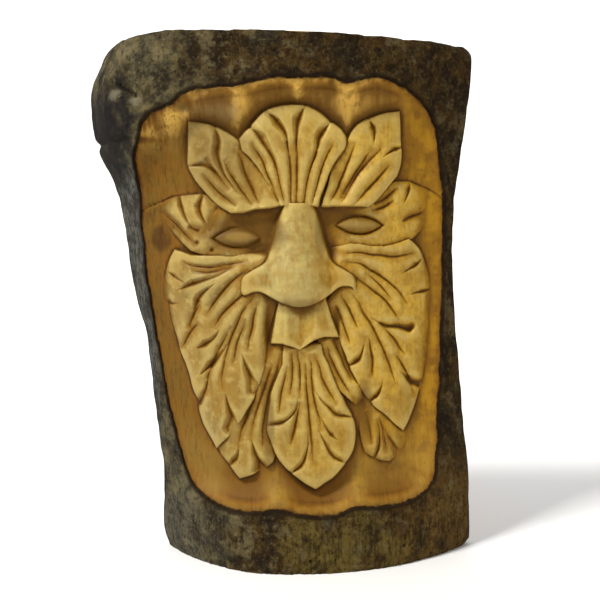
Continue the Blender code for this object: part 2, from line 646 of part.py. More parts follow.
def slab_mesh():
    """The whole slab as one closed mesh."""
    points, height, triangles = fitted_front()
    a, b = place(points[:, 0], points[:, 1])
    x = a * ACROSS
    x -= (x.min() + x.max()) / 2
    z = b * UP
    middle = height.max() / 2
    mesh = bmesh.new()
    front = [mesh.verts.new((px, middle - h, pz)) for px, h, pz in zip(x, height, z)]
    for corners in triangles:
        mesh.faces.new([front[i] for i in corners])

    def edge_of(values, at, along):
        return [i for i in np.argsort(along, kind="stable") if values[i] == at]

    sides = [edge_of(points[:, 0], at, b) for at in (0, 1)]
    ends = [edge_of(points[:, 1], at, x) for at in (0, 1)]
    backs = [[mesh.verts.new((x[i], middle, z[i])) for i in side] for side in sides]
    for side, back in zip(sides, backs):
        for i in range(len(side) - 1):
            mesh.faces.new((front[side[i]], front[side[i + 1]], back[i + 1], back[i]))
    for end, at in zip(ends, (0, -1)):
        mesh.faces.new([front[i] for i in end] + [backs[1][at], backs[0][at]])
    mesh.faces.new(backs[0] + backs[1][::-1])
    bmesh.ops.recalc_face_normals(mesh, faces=mesh.faces)
    bmesh.ops.triangulate(mesh, faces=[face for face in mesh.faces if len(face.verts) > 3])
    data = bpy.data.meshes.new("carved_log")
    mesh.to_mesh(data)
    mesh.free()
    return data


def wood():
    material = bpy.data.materials.new("carved wood")
    material.use_nodes = True
    shader = material.node_tree.nodes["Principled BSDF"]
    shader.inputs["Base Color"].default_value = (0.42, 0.25, 0.08, 1)
    shader.inputs["Roughness"].default_value = 0.6
    shader.inputs["Metallic"].default_value = 0
    material.diffuse_color = (0.42, 0.25, 0.08, 1)
    return material


for old in list(bpy.data.objects):
    bpy.data.objects.remove(old, do_unlink=True)

collection = bpy.data.collections.new("green_man_log")
bpy.context.scene.collection.children.link(collection)

slab = bpy.data.objects.new("carved_log", slab_mesh())
slab.data.materials.append(wood())
collection.objects.link(slab)
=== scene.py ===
"""Looks of a leafy face carved in relief into the bark covered front of a flat backed log slab.

Metres, +Z up, the carved front faces -Y. The carving is drawn on a grid of squares, as a carver
squares up a sketch: the first number of a place runs to the right of the slab's middle, the second
up from its base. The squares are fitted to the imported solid, and the fine surface follows it.
"""
import math

import bpy
import numpy as np
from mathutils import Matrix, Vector


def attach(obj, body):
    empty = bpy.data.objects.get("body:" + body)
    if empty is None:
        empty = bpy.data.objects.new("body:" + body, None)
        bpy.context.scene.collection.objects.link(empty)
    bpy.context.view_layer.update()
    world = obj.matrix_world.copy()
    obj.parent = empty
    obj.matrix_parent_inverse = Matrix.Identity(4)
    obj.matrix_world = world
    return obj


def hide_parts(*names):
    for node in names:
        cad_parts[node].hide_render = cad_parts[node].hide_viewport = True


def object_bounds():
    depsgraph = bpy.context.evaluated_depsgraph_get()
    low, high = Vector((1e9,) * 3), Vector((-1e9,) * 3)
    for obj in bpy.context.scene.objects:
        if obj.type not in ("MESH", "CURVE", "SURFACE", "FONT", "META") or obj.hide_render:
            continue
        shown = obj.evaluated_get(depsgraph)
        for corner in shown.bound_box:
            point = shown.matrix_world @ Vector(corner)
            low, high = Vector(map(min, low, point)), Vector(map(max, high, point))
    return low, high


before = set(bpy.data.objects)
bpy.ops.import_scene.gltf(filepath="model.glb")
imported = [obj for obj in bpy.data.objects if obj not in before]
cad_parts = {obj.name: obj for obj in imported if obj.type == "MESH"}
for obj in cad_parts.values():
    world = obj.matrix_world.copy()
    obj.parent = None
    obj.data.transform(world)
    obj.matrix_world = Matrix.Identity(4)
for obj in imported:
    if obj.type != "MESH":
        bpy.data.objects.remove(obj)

cad_low, cad_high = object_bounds()

# Grid of the drawing, fitted to the solid
GRID_ROWS = 500
SQUARE = (cad_high.z - cad_low.z) / GRID_ROWS

# Depths of the slab and the carving. The solid's highest lump of bark is that far proud of its log
BARK_PROUD = 0.00136
SLAB_DEPTH = cad_high.y - cad_low.y - BARK_PROUD
SIDE_BAND = 0.012
BARK_THICKNESS = 0.003
GROUND_SINK_RIM = 0.011
GROUND_SINK_MIDDLE = 0.026
COVE_WIDTH = 0.034
GOUGE_DEPTH = 0.0060
GROUND_LINE_WIDTH = 0.0030
GROUND_LINE_DEPTH = 0.0016
CUT_DEPTH = 0.0056
FLUTE_WIDTH = 0.0096
FLUTE_DEPTH = 0.0044
LEAF_DOME = 0.0022
LEAF_ROUNDING = 0.014
LEAF_LEVEL = 0.0115
FACE_FALL = 0.0050
FACE_LEVEL = 0.0072
FACE_ROUNDING = 0.0025
FACE_EDGE_FALL = 0.040
EYE_LEVEL = 0.0050
EYE_ROUNDING = 0.0026
EYE_HALF_LENGTH = 0.0225
EYE_HALF_HEIGHT = 0.0092
EYE_GROOVE = 0.0022
NOSE_TIP = 0.0280
LIP_LEVEL = 0.0165
KNOT_RISE = 0.010
KNOT_HOLLOW = 0.007
BARK_LUMPS = 0.0018

# Roundness of the log: where its crown is across it, and the power of each side's curve, each at
# the base and at the top
CROWN = (0.41, 0.39)
LEFT_ROUNDNESS = (2.2, 4.4)
RIGHT_ROUNDNESS = (2.3, 1.9)

# Sides of the slab, seen from the front, from the base up
LEFT_SIDE = ((-117, 0), (-123, 25), (-122, 80), (-126, 105), (-129, 134), (-137, 208), (-148, 251),
             (-155, 287), (-161, 333), (-170, 368), (-181, 389), (-184, 397), (-183, 403),
             (-188, 411), (-191, 440), (-189, 460), (-182, 477), (-177, 489), (-172, 496),
             (-166, 500))
RIGHT_SIDE = ((183, 0), (187, 5), (189, 16), (187, 80), (180, 141), (174, 208), (170, 279),
              (171, 351), (178, 404), (184, 457), (186, 485), (184, 494), (178, 500))

# Edge of the sunk ground
RECESS = ((-135, 402), (-130, 418), (-120, 428), (-105, 433), (-88, 445), (-59, 451), (-40, 452),
          (-12, 459), (14, 460), (44, 461), (60, 457), (84, 463), (101, 461), (122, 452),
          (137, 438), (149, 415), (154, 385), (158, 350), (158, 280), (156, 210), (153, 140),
          (150, 92), (145, 73), (124, 60), (95, 57), (70, 59), (44, 53), (17, 54), (-4, 59),
          (-29, 55), (-56, 57), (-79, 66), (-94, 83), (-105, 117), (-115, 158), (-124, 211),
          (-131, 264), (-135, 316), (-136, 349), (-139, 382))

# The stub of a cut branch and the crack in it: (place, half width, half height) and (place, half
# length, half width, slant in radians), and how far in from the slab's side the stub is full
KNOT_MOUND = ((-160, 432), 24, 34)
KNOT_CRACK = ((-146, 449), 15, 5, -0.49)
KNOT_SHOULDER = 20

# Where the ground's gouge facets meet, along its top and its bottom, with the heights on the
# slab at which they are full and at which they have run out
TOP_GOUGES = ((-90, -41, 14, 60, 117), 450, 385)
BOTTOM_GOUGES = ((-66, -6, 72, 134), 60, 125)

# A cut is CUT_DEPTH deep where it is CUT_SPAN squares wide each way. It is widest at that share of
# its length and that wide at its inner end, and on its upper left it slopes in from so many times
# as far.
CUT_SPAN = 4
CUT_WIDEST_AT = 0.3
CUT_INNER_END = 0.4
CUT_SLANT = 2.0
UPPER_LEFT = (-0.5, 0.87)

# A leaf is (level, corners, cuts, flutes). A corner's third number is how far the side that starts
# there bows out, in hundredths of its length. A cut is (half width at its outer end, half width
# where it is widest, its line inwards), and a flute is a soft valley.
LEAVES = (
    # left beard leaf
    (0.72, (
        (-18, 262, 0), (10, 262, 0), (9, 185, 0), (-4, 138, 5), (-10, 101, 4), (-24, 91, 4),
        (-41, 83, 4), (-53, 98, 3), (-62, 114, 0), (-32, 180, 0),
    ), (
        (1.5, 2.5, ((-52, 94), (-44, 104), (-42, 117))),
        (6, 3.5, ((-20, 96), (-26, 108), (-30, 123))),
    ), (
        ((-20, 111), (-18, 137), (-13, 163), (-5, 189), (-2, 206)),
        ((-31, 121), (-26, 146), (-17, 172), (-10, 197)),
        ((-44, 114), (-37, 137), (-29, 159), (-19, 180)),
        ((-12, 118), (-9, 144), (-3, 172)),
    )),
    # right beard leaf
    (0.62, (
        (67, 178, 0), (113, 137, 0), (122, 124, 8), (112, 104, 8), (103, 97, 8), (91, 100, 4),
        (78, 108, 6), (74, 140, 0),
    ), (
        (1.5, 2.5, ((88, 101), (93, 113), (93, 126), (89, 139))),
        (3, 2.5, ((112, 103), (104, 117), (98, 129))),
    ), (
        ((85, 114), (83, 130), (79, 147)),
        ((101, 103), (98, 121), (91, 141)),
    )),
    # strands beside the chin
    (0.88, (
        (31, 219, 0), (54, 220, 0), (64, 196, 4), (76, 161, 0), (70, 154, 0), (54, 168, 3),
        (39, 200, 0),
    ), (
    ), (
        ((41, 215), (47, 194), (59, 172), (68, 159)),
        ((47, 218), (56, 197), (66, 175)),
        ((55, 217), (62, 197), (71, 174)),
    )),
    # middle beard leaf
    (1.10, (
        (1, 213, 0), (35, 213, -3), (66, 143, 12), (59, 99, 4), (31, 76, 4), (9, 91, 10),
        (-14, 136, 6), (1, 194, 0),
    ), (
        (2, 2.5, ((67, 142), (52, 146), (40, 156), (29, 171))),
        (2, 2.5, ((60, 99), (48, 107), (39, 120), (33, 135))),
        (2, 2.5, ((7, 90), (18, 99), (23, 112), (24, 126))),
        (2, 2.5, ((-16, 136), (1, 141), (11, 150), (15, 164))),
        (0.5, 2, ((52, 122), (44, 129), (35, 144))),
    ), (
        ((29, 97), (26, 133), (23, 171), (20, 208)),
        ((7, 116), (12, 137), (16, 161)),
        ((17, 161), (16, 188), (14, 208)),
        ((52, 153), (39, 178), (29, 206)),
        ((7, 162), (9, 184), (9, 207)),
        ((37, 131), (30, 161), (25, 206)),
        ((-4, 148), (0, 171), (5, 193)),
    )),
    # left moustache leaf
    (1.00, (
        (-13, 299, 0), (-5, 252, 0), (-15, 218, 0), (-18, 192, 6), (-35, 150, 4), (-63, 112, 0),
        (-76, 134, 3), (-81, 154, 0), (-93, 190, 3), (-105, 229, 4), (-109, 250, 0),
        (-113, 254, 10), (-109, 286, 4), (-101, 300, 0), (-86, 296, 0), (-48, 295, 0),
    ), (
        (4, 3, ((-81, 154), (-75, 165), (-71, 176))),
        (0.5, 2, ((-114, 252), (-106, 250), (-98, 250))),
        (0.5, 2, ((-109, 280), (-100, 274), (-92, 270))),
        (0.5, 3, ((-100, 263), (-86, 268), (-73, 273), (-61, 277), (-48, 284))),
        (0.5, 3, ((-84, 244), (-80, 254), (-73, 262), (-63, 270))),
        (1, 3, ((-80, 208), (-73, 212), (-66, 217), (-59, 226))),
        (1, 3, ((-77, 183), (-67, 193), (-59, 202), (-50, 216))),
        (6, 4, ((-46, 134), (-49, 149), (-54, 166))),
        (6, 4, ((-24, 172), (-31, 186), (-38, 205))),
    ), (
        ((-96, 290), (-80, 286), (-65, 285), (-47, 288), (-30, 292)),
        ((-73, 239), (-62, 255), (-49, 270), (-31, 285)),
        ((-65, 227), (-56, 242), (-43, 255), (-28, 266)),
        ((-33, 206), (-29, 229), (-22, 255)),
        ((-57, 168), (-56, 191), (-49, 217), (-37, 244), (-25, 261)),
        ((-47, 191), (-43, 213), (-34, 238)),
        ((-90, 225), (-84, 241), (-76, 255)),
        ((-73, 161), (-70, 182), (-61, 206), (-47, 231)),
        ((-86, 282), (-67, 280), (-44, 286)),
        ((-98, 205), (-90, 220), (-78, 234)),
    )),
    # right moustache leaf
    (1.00, (
        (40, 301, 0), (63, 307, 0), (97, 303, 0), (121, 310, 5), (135, 296, 4), (145, 268, 3),
        (142, 217, 3), (132, 160, 3), (116, 126, 0), (86, 153, 3), (65, 187, 0), (64, 192, 3),
        (52, 222, 0), (40, 252, 0), (49, 264, 0),
    ), (
        (1, 2.5, ((134, 291), (125, 283), (115, 277))),
        (1, 2.5, ((143, 261), (133, 259), (122, 258))),
        (5, 4, ((122, 224), (111, 226), (97, 228), (84, 236))),
        (4, 3.5, ((132, 168), (121, 174), (112, 184))),
        (2, 3, ((83, 156), (92, 165), (96, 177))),
        (2, 3, ((64, 192), (73, 200), (78, 214))),
    ), (
        ((131, 298), (107, 294), (82, 297), (50, 299)),
        ((123, 246), (110, 262), (92, 277), (73, 287), (54, 290)),
        ((114, 231), (100, 249), (82, 266), (63, 278)),
        ((106, 251), (92, 268), (77, 281)),
        ((110, 166), (101, 192), (89, 219), (77, 241), (63, 263)),
        ((119, 198), (104, 217), (90, 232)),
        ((72, 226), (63, 244), (54, 260)),
        ((84, 178), (85, 199), (80, 221)),
        ((63, 212), (57, 231), (49, 251)),
        ((129, 157), (119, 181), (106, 203)),
    )),
    # left temple leaf
    (0.81, (
        (-123, 338, 3), (-109, 348, 3), (-95, 351, 5), (-74, 352, 5), (-45, 335, 0), (-50, 310, 0),
        (-72, 296, 0), (-86, 301, 3), (-105, 320, 3),
    ), (
        (1.5, 2.5, ((-96, 352), (-94, 341), (-90, 330), (-85, 321))),
        (1.5, 3, ((-74, 352), (-77, 340), (-73, 328), (-67, 319))),
    ), (
        ((-115, 337), (-103, 327), (-92, 316), (-79, 305)),
        ((-61, 343), (-64, 331), (-69, 318)),
        ((-89, 323), (-80, 319), (-70, 319)),
    )),
    # right temple leaf
    (0.80, (
        (59, 307, 0), (65, 338, 0), (100, 364, 4), (123, 366, 4), (143, 357, 8), (143, 337, 8),
        (133, 318, 6), (117, 307, 4), (97, 303, 0),
    ), (
        (1, 2.5, ((123, 365), (121, 354), (117, 345))),
    ), (
        ((108, 349), (96, 342), (84, 338)),
        ((140, 339), (127, 334), (114, 327)),
        ((110, 360), (98, 351), (86, 344)),
    )),
)

# Leaves that rise from the brow, where their lower ends are cut off along one line
BROW_LINE = ((-60, 333), (-45, 336), (0, 343), (120, 342))
BROW_LEAVES = (
    # left brow leaf
    (1.05, (
        (-47, 335, 8), (-86, 376, 0), (-87, 381, 0), (-87, 419, 3), (-63, 414, 3), (-41, 402, 0),
        (-19, 375, 0), (1, 335, 0),
    ), (
        (2, 3.5, ((-63, 415), (-59, 401), (-60, 386), (-51, 367), (-39, 351))),
        (1, 2, ((-88, 378), (-73, 379), (-62, 373), (-52, 362))),
    ), (
        ((-74, 373), (-63, 358), (-41, 340)),
        ((-55, 384), (-43, 364), (-26, 340)),
        ((-43, 395), (-33, 369), (-19, 340)),
        ((-72, 386), (-61, 371), (-48, 355)),
    )),
    # right brow leaf
    (1.05, (
        (35, 336, 0), (47, 380, 0), (62, 406, 10), (82, 424, 3), (111, 433, 0), (113, 399, 8),
        (108, 371, 3), (75, 337, 0),
    ), (
        (1.5, 3, ((82, 424), (87, 413), (86, 399))),
        (1.5, 3, ((114, 399), (103, 394), (95, 388))),
    ), (
        ((95, 398), (78, 381), (63, 359), (52, 341)),
        ((104, 384), (86, 365), (65, 341)),
        ((69, 402), (59, 377), (44, 342)),
        ((84, 398), (69, 374), (52, 346)),
    )),
    # fan leaf over the forehead
    (1.33, (
        (0, 336, 0), (-4, 347, -4), (-37, 393, 0), (-39, 403, 8), (-29, 413, 10), (-14, 429, 8),
        (20, 434, 6), (44, 419, 8), (58, 406, 12), (58, 396, -6), (33, 344, 0), (31, 336, 0),
    ), (
        (1.5, 3.5, ((-30, 414), (-19, 402), (-12, 391), (-4, 373))),
        (1.5, 3.5, ((-15, 428), (-4, 419), (3, 407), (6, 391))),
        (1.5, 3.5, ((21, 435), (15, 420), (13, 406), (12, 391))),
        (1.5, 3.5, ((45, 420), (36, 406), (32, 393), (26, 378))),
    ), (
        ((-15, 393), (-5, 373), (3, 336)),
        ((4, 402), (7, 375), (8, 336)),
        ((13, 404), (13, 375), (13, 336)),
        ((32, 393), (24, 371), (19, 336)),
        ((48, 403), (36, 377), (26, 336)),
        ((-29, 402), (-17, 379), (-2, 342)),
    )),
)

# The flat of the face and the rounding that the leaves fall away on: (place, half width, half
# height)
FACE_ROUND = ((14, 310), 92, 48)
FALL_ROUND = ((14, 255), 130, 215)

# The eyes, and how wide the grooves round them are and how far past the corners they run out
EYES = ((-43, 312), (73, 324))
EYE_GROOVE_WIDTH = 1.6
EYE_GROOVE_END = 0.12

# Hollows: (place, half width, half height, depth). The sockets and the eye hollows sink the face
# under the brows, the brow hollows sink the brow leaves beside the fan, and the pits sink all that
# lies by the nose, by the mouth and low on the right
SOCKETS = (((-22, 330), 30, 12, 0.0075), ((48, 334), 24, 9, 0.0065), ((-20, 310), 15, 17, 0.0045),
           ((43, 312), 12, 17, 0.0050))
EYE_HOLLOWS = (((-46, 313), 27, 13, 0.0030), ((76, 324), 28, 12, 0.0028))
BROW_HOLLOWS = (((-26, 365), 12, 30, 0.0035), ((53, 362), 10, 28, 0.0030))
PITS = (((42, 299), 9, 7, 0.0075), ((72, 152), 9, 13, 0.0060), ((-20, 301), 14, 4, 0.0050),
        ((36, 318), 6, 16, 0.0030), ((-10, 318), 7, 18, 0.0030), ((-13, 228), 6, 28, 0.0070),
        ((50, 230), 4, 20, 0.0040))

# The nose from its top down: (place up, half width, half width of the ridge, height of the ridge,
# height of the wings), the heights as shares of the tip's, and the line of its underside. The
# ridge loses the share NOSE_TUCK on its turn to the underside, and the wings lose WING_DROOP.
NOSE_MIDDLE = 15
NOSE_TOP = 344
NOSE_TURN = 17
NOSE_TUCK = 0.55
WING_DROOP = 0.16
NOSE_SIDE_SLOPE = 1.8
NOSE_ROWS = ((345, 12, 15, 0.50, 0.36), (324, 18, 20, 0.60, 0.38), (305, 23, 26, 0.74, 0.42),
             (290, 30, 29, 0.90, 0.51), (283, 41, 30, 0.96, 0.56), (276, 50, 30, 1.0, 0.58),
             (265, 52, 30, 1.0, 0.58), (255, 48, 29, 0.94, 0.54), (246, 42, 28, 0.86, 0.48))
NOSE_UNDERSIDE = ((-36, 260), (-32, 261), (-27, 263), (-20, 263), (-10, 258), (2, 252), (16, 249),
                  (30, 252), (42, 259), (51, 266), (57, 268), (64, 267), (67, 264))

# The mouth block: its sides as (up, across), its underside and its facets' levels by place across
LIP_TOP = 262
LIP_LEFT = ((214, -10), (255, -3))
LIP_RIGHT = ((220, 52), (238, 45), (255, 40))
LIP_BOTTOM = ((-10, 215), (0, 215), (9, 212), (16, 209), (22, 213), (30, 219), (39, 221), (52, 220))
LIP_FACETS = ((-12, 0.60), (3, 1.0), (17, 0.80), (31, 1.0), (54, 0.58))

# Lines cut in the ground between the temple leaves and the bark
GROUND_LINES = (((-141, 334), (-128, 341), (-113, 347), (-97, 353)),
                ((122, 367), (137, 362), (150, 355), (158, 349)))

# How steep the carving's walls are, how far its outlines wander and over what length, the length
# of the bark's lumps, how close to the sawn ends they stop, and a height below all else
WALL_SLOPE = 4.0
OUTLINE_WANDER = 0.8
WANDER_LENGTH = 12
LUMP_LENGTH = 34
PLAIN_END = 12
NOWHERE = -1.0

# Cells of the fine surface across its front, up it and up each side band, what it is thinned to,
# and the angle in degrees from which its edges stay sharp
COLUMNS = 540
ROWS = 700
BAND_STEPS = 7
TRIANGLES = 190000
SHARP_ANGLE = 48

# Wear of the side edges and the top edge, and how far in it reaches, in squares
SIDE_WEAR = 1.5
SIDE_WEAR_REACH = 12
TOP_WEAR = 1.6
TOP_WEAR_REACH = 9

# How far in from the edge of the ground its step, chisel marks and gouge hollows are full, and how
# far from the edge the raggedness reaches
STEP_FULL_AT = 1.5
CHISEL_FULL_AT = 4
GOUGES_FULL_AT = 10
RAGGED_REACH = 8

# Where the bark is worn to fibres, each from where it starts to where it is full: low down, and
# along the right as far up as the last
FIBRES_BELOW = (75, 30)
FIBRES_RIGHT_OF = (140, 170)
RIGHT_FIBRES_BELOW = (430, 370)

# Marks too fine for the solid: depths in metres, and the rest in squares
CRUST_DEPTH = 0.0016
PIT_DEPTH = 0.0012
CHISEL_DEPTH = 0.0010
KNIFE_DEPTH = 0.00030
EDGE_RAGGED = 0.8
WORM_HOLES = ((-80, 308), (-66, 301))
WORM_HOLE_DEPTH = 0.0022
WORM_HOLE_SIZE = 1.8

# Masks of how deep a place lies under its surroundings: (cells to look round, depth that is full)
DEPTH_MASKS = {"crevice": (2, 0.0009), "valley": (4, 0.0016), "fold": (6, 0.0022),
               "cavity": (11, 0.0045), "deep": (24, 0.0080)}

# Growth rings on the sawn faces: how far back their middle lies, and how far apart they are
PITH_BEHIND = 0.066
RING_SPACING = 0.0046

# Places on the front with a colour of their own, a paler nose and a painted highlight on the left
# eye: (across, up, half width, half height) in metres
BLACK_KNOT = (-0.168, 0.408, 0.040, 0.062)
CHIPPED_BARK = ((-0.154, 0.444, 0.007, 0.007), (-0.133, 0.437, 0.008, 0.005))
PALE_NOSE = (0.006, 0.285, 0.036, 0.070)
YELLOW_CHEEK = (0.048, 0.285, 0.022, 0.040)
PALE_GROUND = (-0.064, 0.428, 0.028, 0.020)
DARK_STAINS = ((-0.124, 0.432, 0.022, 0.016), (-0.092, 0.436, 0.012, 0.010),
               (-0.114, 0.312, 0.012, 0.016))
LIT_EYE = (-0.040, 0.313, 0.016, 0.0055)

# Browner places painted as shade, each with its strength: the sockets, where it is also a brown
# stain, the left brow, the gaps low in the beard, and the underside and the two flanks of the nose
PAINTED_SHADE_PLACES = ((0.88, (-0.036, 0.316, 0.046, 0.022)), (0.50, (0.068, 0.326, 0.036, 0.021)),
                (0.35, (-0.062, 0.390, 0.044, 0.055)), (0.60, (-0.013, 0.136, 0.008, 0.046)),
                (0.65, (0.079, 0.150, 0.009, 0.036)), (0.50, (0.0165, 0.249, 0.030, 0.009)),
                (0.40, (-0.006, 0.318, 0.009, 0.028)), (0.45, (0.036, 0.314, 0.007, 0.026)))

# Dark wax and painted shade in the hollows of the wood: (mask, where it starts, where it is full,
# strength, colour)
HOLLOW_WAX_AND_SHADE = (("fold", 0.02, 0.50, 0.70, (138, 92, 22)),
                 ("cavity", 0.08, 0.70, 0.55, (84, 52, 12)),
                 ("valley", 0.10, 0.80, 0.45, (84, 54, 12)),
                 ("crevice", 0.20, 0.95, 0.60, (52, 32, 7)))

# Depth of the bumps in each material
FRONT_BUMP = 0.0014
SAWN_BUMP = 0.0006

# The floor runs from its front edge to the bend up into the backdrop
FLOOR_HALF_WIDTH = 6.0
FLOOR_FRONT = -4.0
FLOOR_BACK = 3.0
BEND = 1.5
BACKDROP_TOP = 5.0

# The camera: how far in front of the slab's back, its place across and up, and its tilt down
LENS = 62.4
CAMERA_AWAY = 1.050
CAMERA_ACROSS, CAMERA_UP = 0.0172, 0.321
CAMERA_DOWN = 3.93

# Lamps: (name, place, aim, size, watts, colour)
SLAB_MIDDLE = (0, 0, 0.28)
LAMPS = (("key", (-1.05, -1.0, 2.0), SLAB_MIDDLE, 0.45, 60, (1.0, 0.98, 0.94)),
         ("fill", (1.5, -1.5, 0.7), SLAB_MIDDLE, 1.2, 9, (1.0, 0.88, 0.66)),
         ("backdrop", (0, 1.9, 2.7), (0, 4.2, 0.7), 2.5, 110, (1, 1, 1)))
WORLD_LIGHT = 0.40


def smooth_line(points, steps=8):
    """A flowing line through the points."""
    given = np.array(points, float)
    held = np.vstack([2 * given[0] - given[1], given, 2 * given[-1] - given[-2]])
    line = []
    for i in range(1, len(held) - 2):
        before, here, there, after = held[i - 1:i + 3]
        for t in np.arange(steps) / steps:
            line.append(here + 0.5 * t * (there - before)
                        + t * t * (before - 2.5 * here + 2 * there - 0.5 * after)
                        + 0.5 * t ** 3 * (3 * here - before - 3 * there + after))
    line.append(given[-1])
    return np.array(line)


def bowed_outline(corners, steps=6):
    """A closed line round the corners, with each side bowed out."""
    line = []
    for (a0, b0, bow), (a1, b1, _) in zip(corners, corners[1:] + corners[:1]):
        t = np.arange(steps) / steps if bow else np.zeros(1)
        out = 4 * t * (1 - t) * bow / 100
        line.extend(zip(a0 + t * (a1 - a0) - out * (b1 - b0), b0 + t * (b1 - b0) + out * (a1 - a0)))
    line.append(line[0])
    return np.array(line)


def nearest(line, a, b):
    """Distance to the line, and the share of its length where it is nearest."""
    lengths = np.hypot(*np.diff(line, axis=0).T)
    runs = np.concatenate([[0], np.cumsum(lengths)])
    distance = np.full(a.shape, np.inf)
    share = np.zeros(a.shape)
    for start, end, length, run in zip(line[:-1], line[1:], lengths, runs):
        along_a, along_b = (end - start) / length
        t = np.clip((a - start[0]) * along_a + (b - start[1]) * along_b, 0, length)
        gap = np.hypot(a - start[0] - t * along_a, b - start[1] - t * along_b)
        closer = gap < distance
        distance[closer] = gap[closer]
        share[closer] = (run + t[closer]) / runs[-1]
    return distance, share


def close_to(line, reach, a, b):
    """Whether each place is in the box round the line, widened by the reach."""
    low, high = line.min(axis=0) - reach, line.max(axis=0) + reach
    return (a > low[0]) & (a < high[0]) & (b > low[1]) & (b < high[1])


def inside(line, a, b):
    """Whether each place is inside the closed line."""
    result = np.zeros(a.shape, bool)
    for (a0, b0), (a1, b1) in zip(line[:-1], line[1:]):
        if b0 != b1:
            result ^= ((b0 > b) != (b1 > b)) & (a < (a1 - a0) * (b - b0) / (b1 - b0) + a0)
    return result


def side_at(side, b):
    """Where that side of the slab is at each height."""
    line = smooth_line(side)
    return np.interp(b, line[:, 1], line[:, 0])


def soft_noise(a, b, wavelength, seed):
    """Smooth hills and hollows between -1 and 1."""
    x, y = a / wavelength, b / wavelength
    ix, iy = np.floor(x).astype(int), np.floor(y).astype(int)
    fx, fy = x - ix, y - iy
    fx, fy = fx * fx * (3 - 2 * fx), fy * fy * (3 - 2 * fy)

    def corner(dx, dy):
        number = np.sin((ix + dx) * 127.1 + (iy + dy) * 311.7 + seed * 74.7) * 43758.5453
        return 2 * (number - np.floor(number)) - 1

    low = corner(0, 0) * (1 - fx) + corner(1, 0) * fx
    high = corner(0, 1) * (1 - fx) + corner(1, 1) * fx
    return low * (1 - fy) + high * fy


def ellipse(a, b, place, half_width, half_height):
    """Square of how far out each place is: 0 in the middle of the ellipse and 1 on its rim."""
    return ((a - place[0]) / half_width) ** 2 + ((b - place[1]) / half_height) ** 2


def log_surface(a, b):
    """Height of the log's rounded front above the back, and the share of the way to its sides."""
    left, right = side_at(LEFT_SIDE, b), side_at(RIGHT_SIDE, b)
    rise = np.clip(b / GRID_ROWS, 0, 1)
    across = np.clip((a - left) / (right - left), 0, 1)
    crown = np.interp(rise, (0, 1), CROWN)
    on_left = across < crown
    out = np.where(on_left, (crown - across) / crown, (across - crown) / (1 - crown))
    left_power = np.interp(rise ** 2, (0, 1), LEFT_ROUNDNESS)
    power = np.where(on_left, left_power, np.interp(rise, (0, 1), RIGHT_ROUNDNESS))
    return SIDE_BAND + (SLAB_DEPTH - SIDE_BAND) * (1 - out ** power), out


def knot(a, b):
    """The stub of a cut branch: a low mound with a slanting crack in it."""
    mound = np.exp(-ellipse(a, b, *KNOT_MOUND))
    (at_a, at_b), half_length, half_width, slant = KNOT_CRACK
    along = (a - at_a) * np.cos(slant) + (b - at_b) * np.sin(slant)
    off = (b - at_b) * np.cos(slant) - (a - at_a) * np.sin(slant)
    crack = np.exp(-(along / half_length) ** 2 - (off / half_width) ** 2)
    from_side = np.clip((a - side_at(LEFT_SIDE, b)) / KNOT_SHOULDER, 0, 1)
    return KNOT_RISE * mound * from_side - KNOT_HOLLOW * crack


def ramp(value, start, full):
    """Runs from 0 to 1 while the value runs from start to full."""
    return np.clip((value - start) / (full - start), 0, 1)


def gouge_facets(a, b):
    """Depth of the hollows left by a wide gouge along the top and the bottom of the ground."""
    sunk = np.zeros(a.shape)
    for ridges, full, gone in (TOP_GOUGES, BOTTOM_GOUGES):
        for start, end in zip(ridges[:-1], ridges[1:]):
            across = np.clip(2 * (a - start) / (end - start) - 1, -1, 1)
            sunk += GOUGE_DEPTH * (1 - across ** 2) * ramp(b, gone, full)
    return sunk


def raise_leaf(a, b, corners, level):
    """Height of one leaf with rounded edges and steep walls."""
    outline = bowed_outline(corners)
    height = np.full(a.shape, NOWHERE)
    near = close_to(outline, 8, a, b)
    distance = nearest(outline, a[near], b[near])[0]
    within = inside(outline, a[near], b[near])
    dome = LEAF_DOME * (1 - np.clip(distance * SQUARE / LEAF_ROUNDING, 0, 1)) ** 2
    height[near] = level - np.where(within, dome, LEAF_DOME + WALL_SLOPE * SQUARE * distance)
    return height


def point_at(line, share):
    """The place on the line at that share of its length."""
    lengths = np.hypot(*np.diff(line, axis=0).T)
    shares = np.concatenate([[0], np.cumsum(lengths)]) / lengths.sum()
    return np.interp(share, shares, line[:, 0]), np.interp(share, shares, line[:, 1])


def sink_cut(a, b, height, cut):
    """Sinks a chip that tapers to nothing at its inner end, and deeper where it is wider. It slopes
    in gently from its upper left and ends in a steep side."""
    outer, widest, points = cut
    line = smooth_line(points)
    near = close_to(line, CUT_SLANT * max(outer, widest) + 1, a, b)
    distance, share = nearest(line, a[near], b[near])
    half_width = np.interp(share, (0, CUT_WIDEST_AT, 1), (outer, widest, CUT_INNER_END))
    at_a, at_b = point_at(line, share)
    along_a, along_b = (line[-1] - line[0]) / np.hypot(*(line[-1] - line[0]))
    aside = along_a * (b[near] - at_b) - along_b * (a[near] - at_a)
    aside *= np.sign(along_a * UPPER_LEFT[1] - along_b * UPPER_LEFT[0]) / np.maximum(distance, 0.01)
    reach = half_width * (1 + (CUT_SLANT - 1) * np.clip(aside, 0, 1))
    height[near] -= CUT_DEPTH * half_width / CUT_SPAN * np.clip(1 - distance / reach, 0, 1)


def sink_flute(a, b, height, points, half_width, full_depth):
    """Sinks a valley with a crisp bottom that fades out at both of its ends."""
    line = smooth_line(points)
    near = close_to(line, half_width / SQUARE + 2, a, b)
    distance, share = nearest(line, a[near], b[near])
    depth = full_depth * np.sin(np.pi * np.clip(share, 0, 1)) ** 0.6
    side = np.clip(1 - distance * SQUARE / half_width, 0, 1)
    height[near] -= depth * (0.6 * side ** 1.4 + 0.4 * side ** 5)


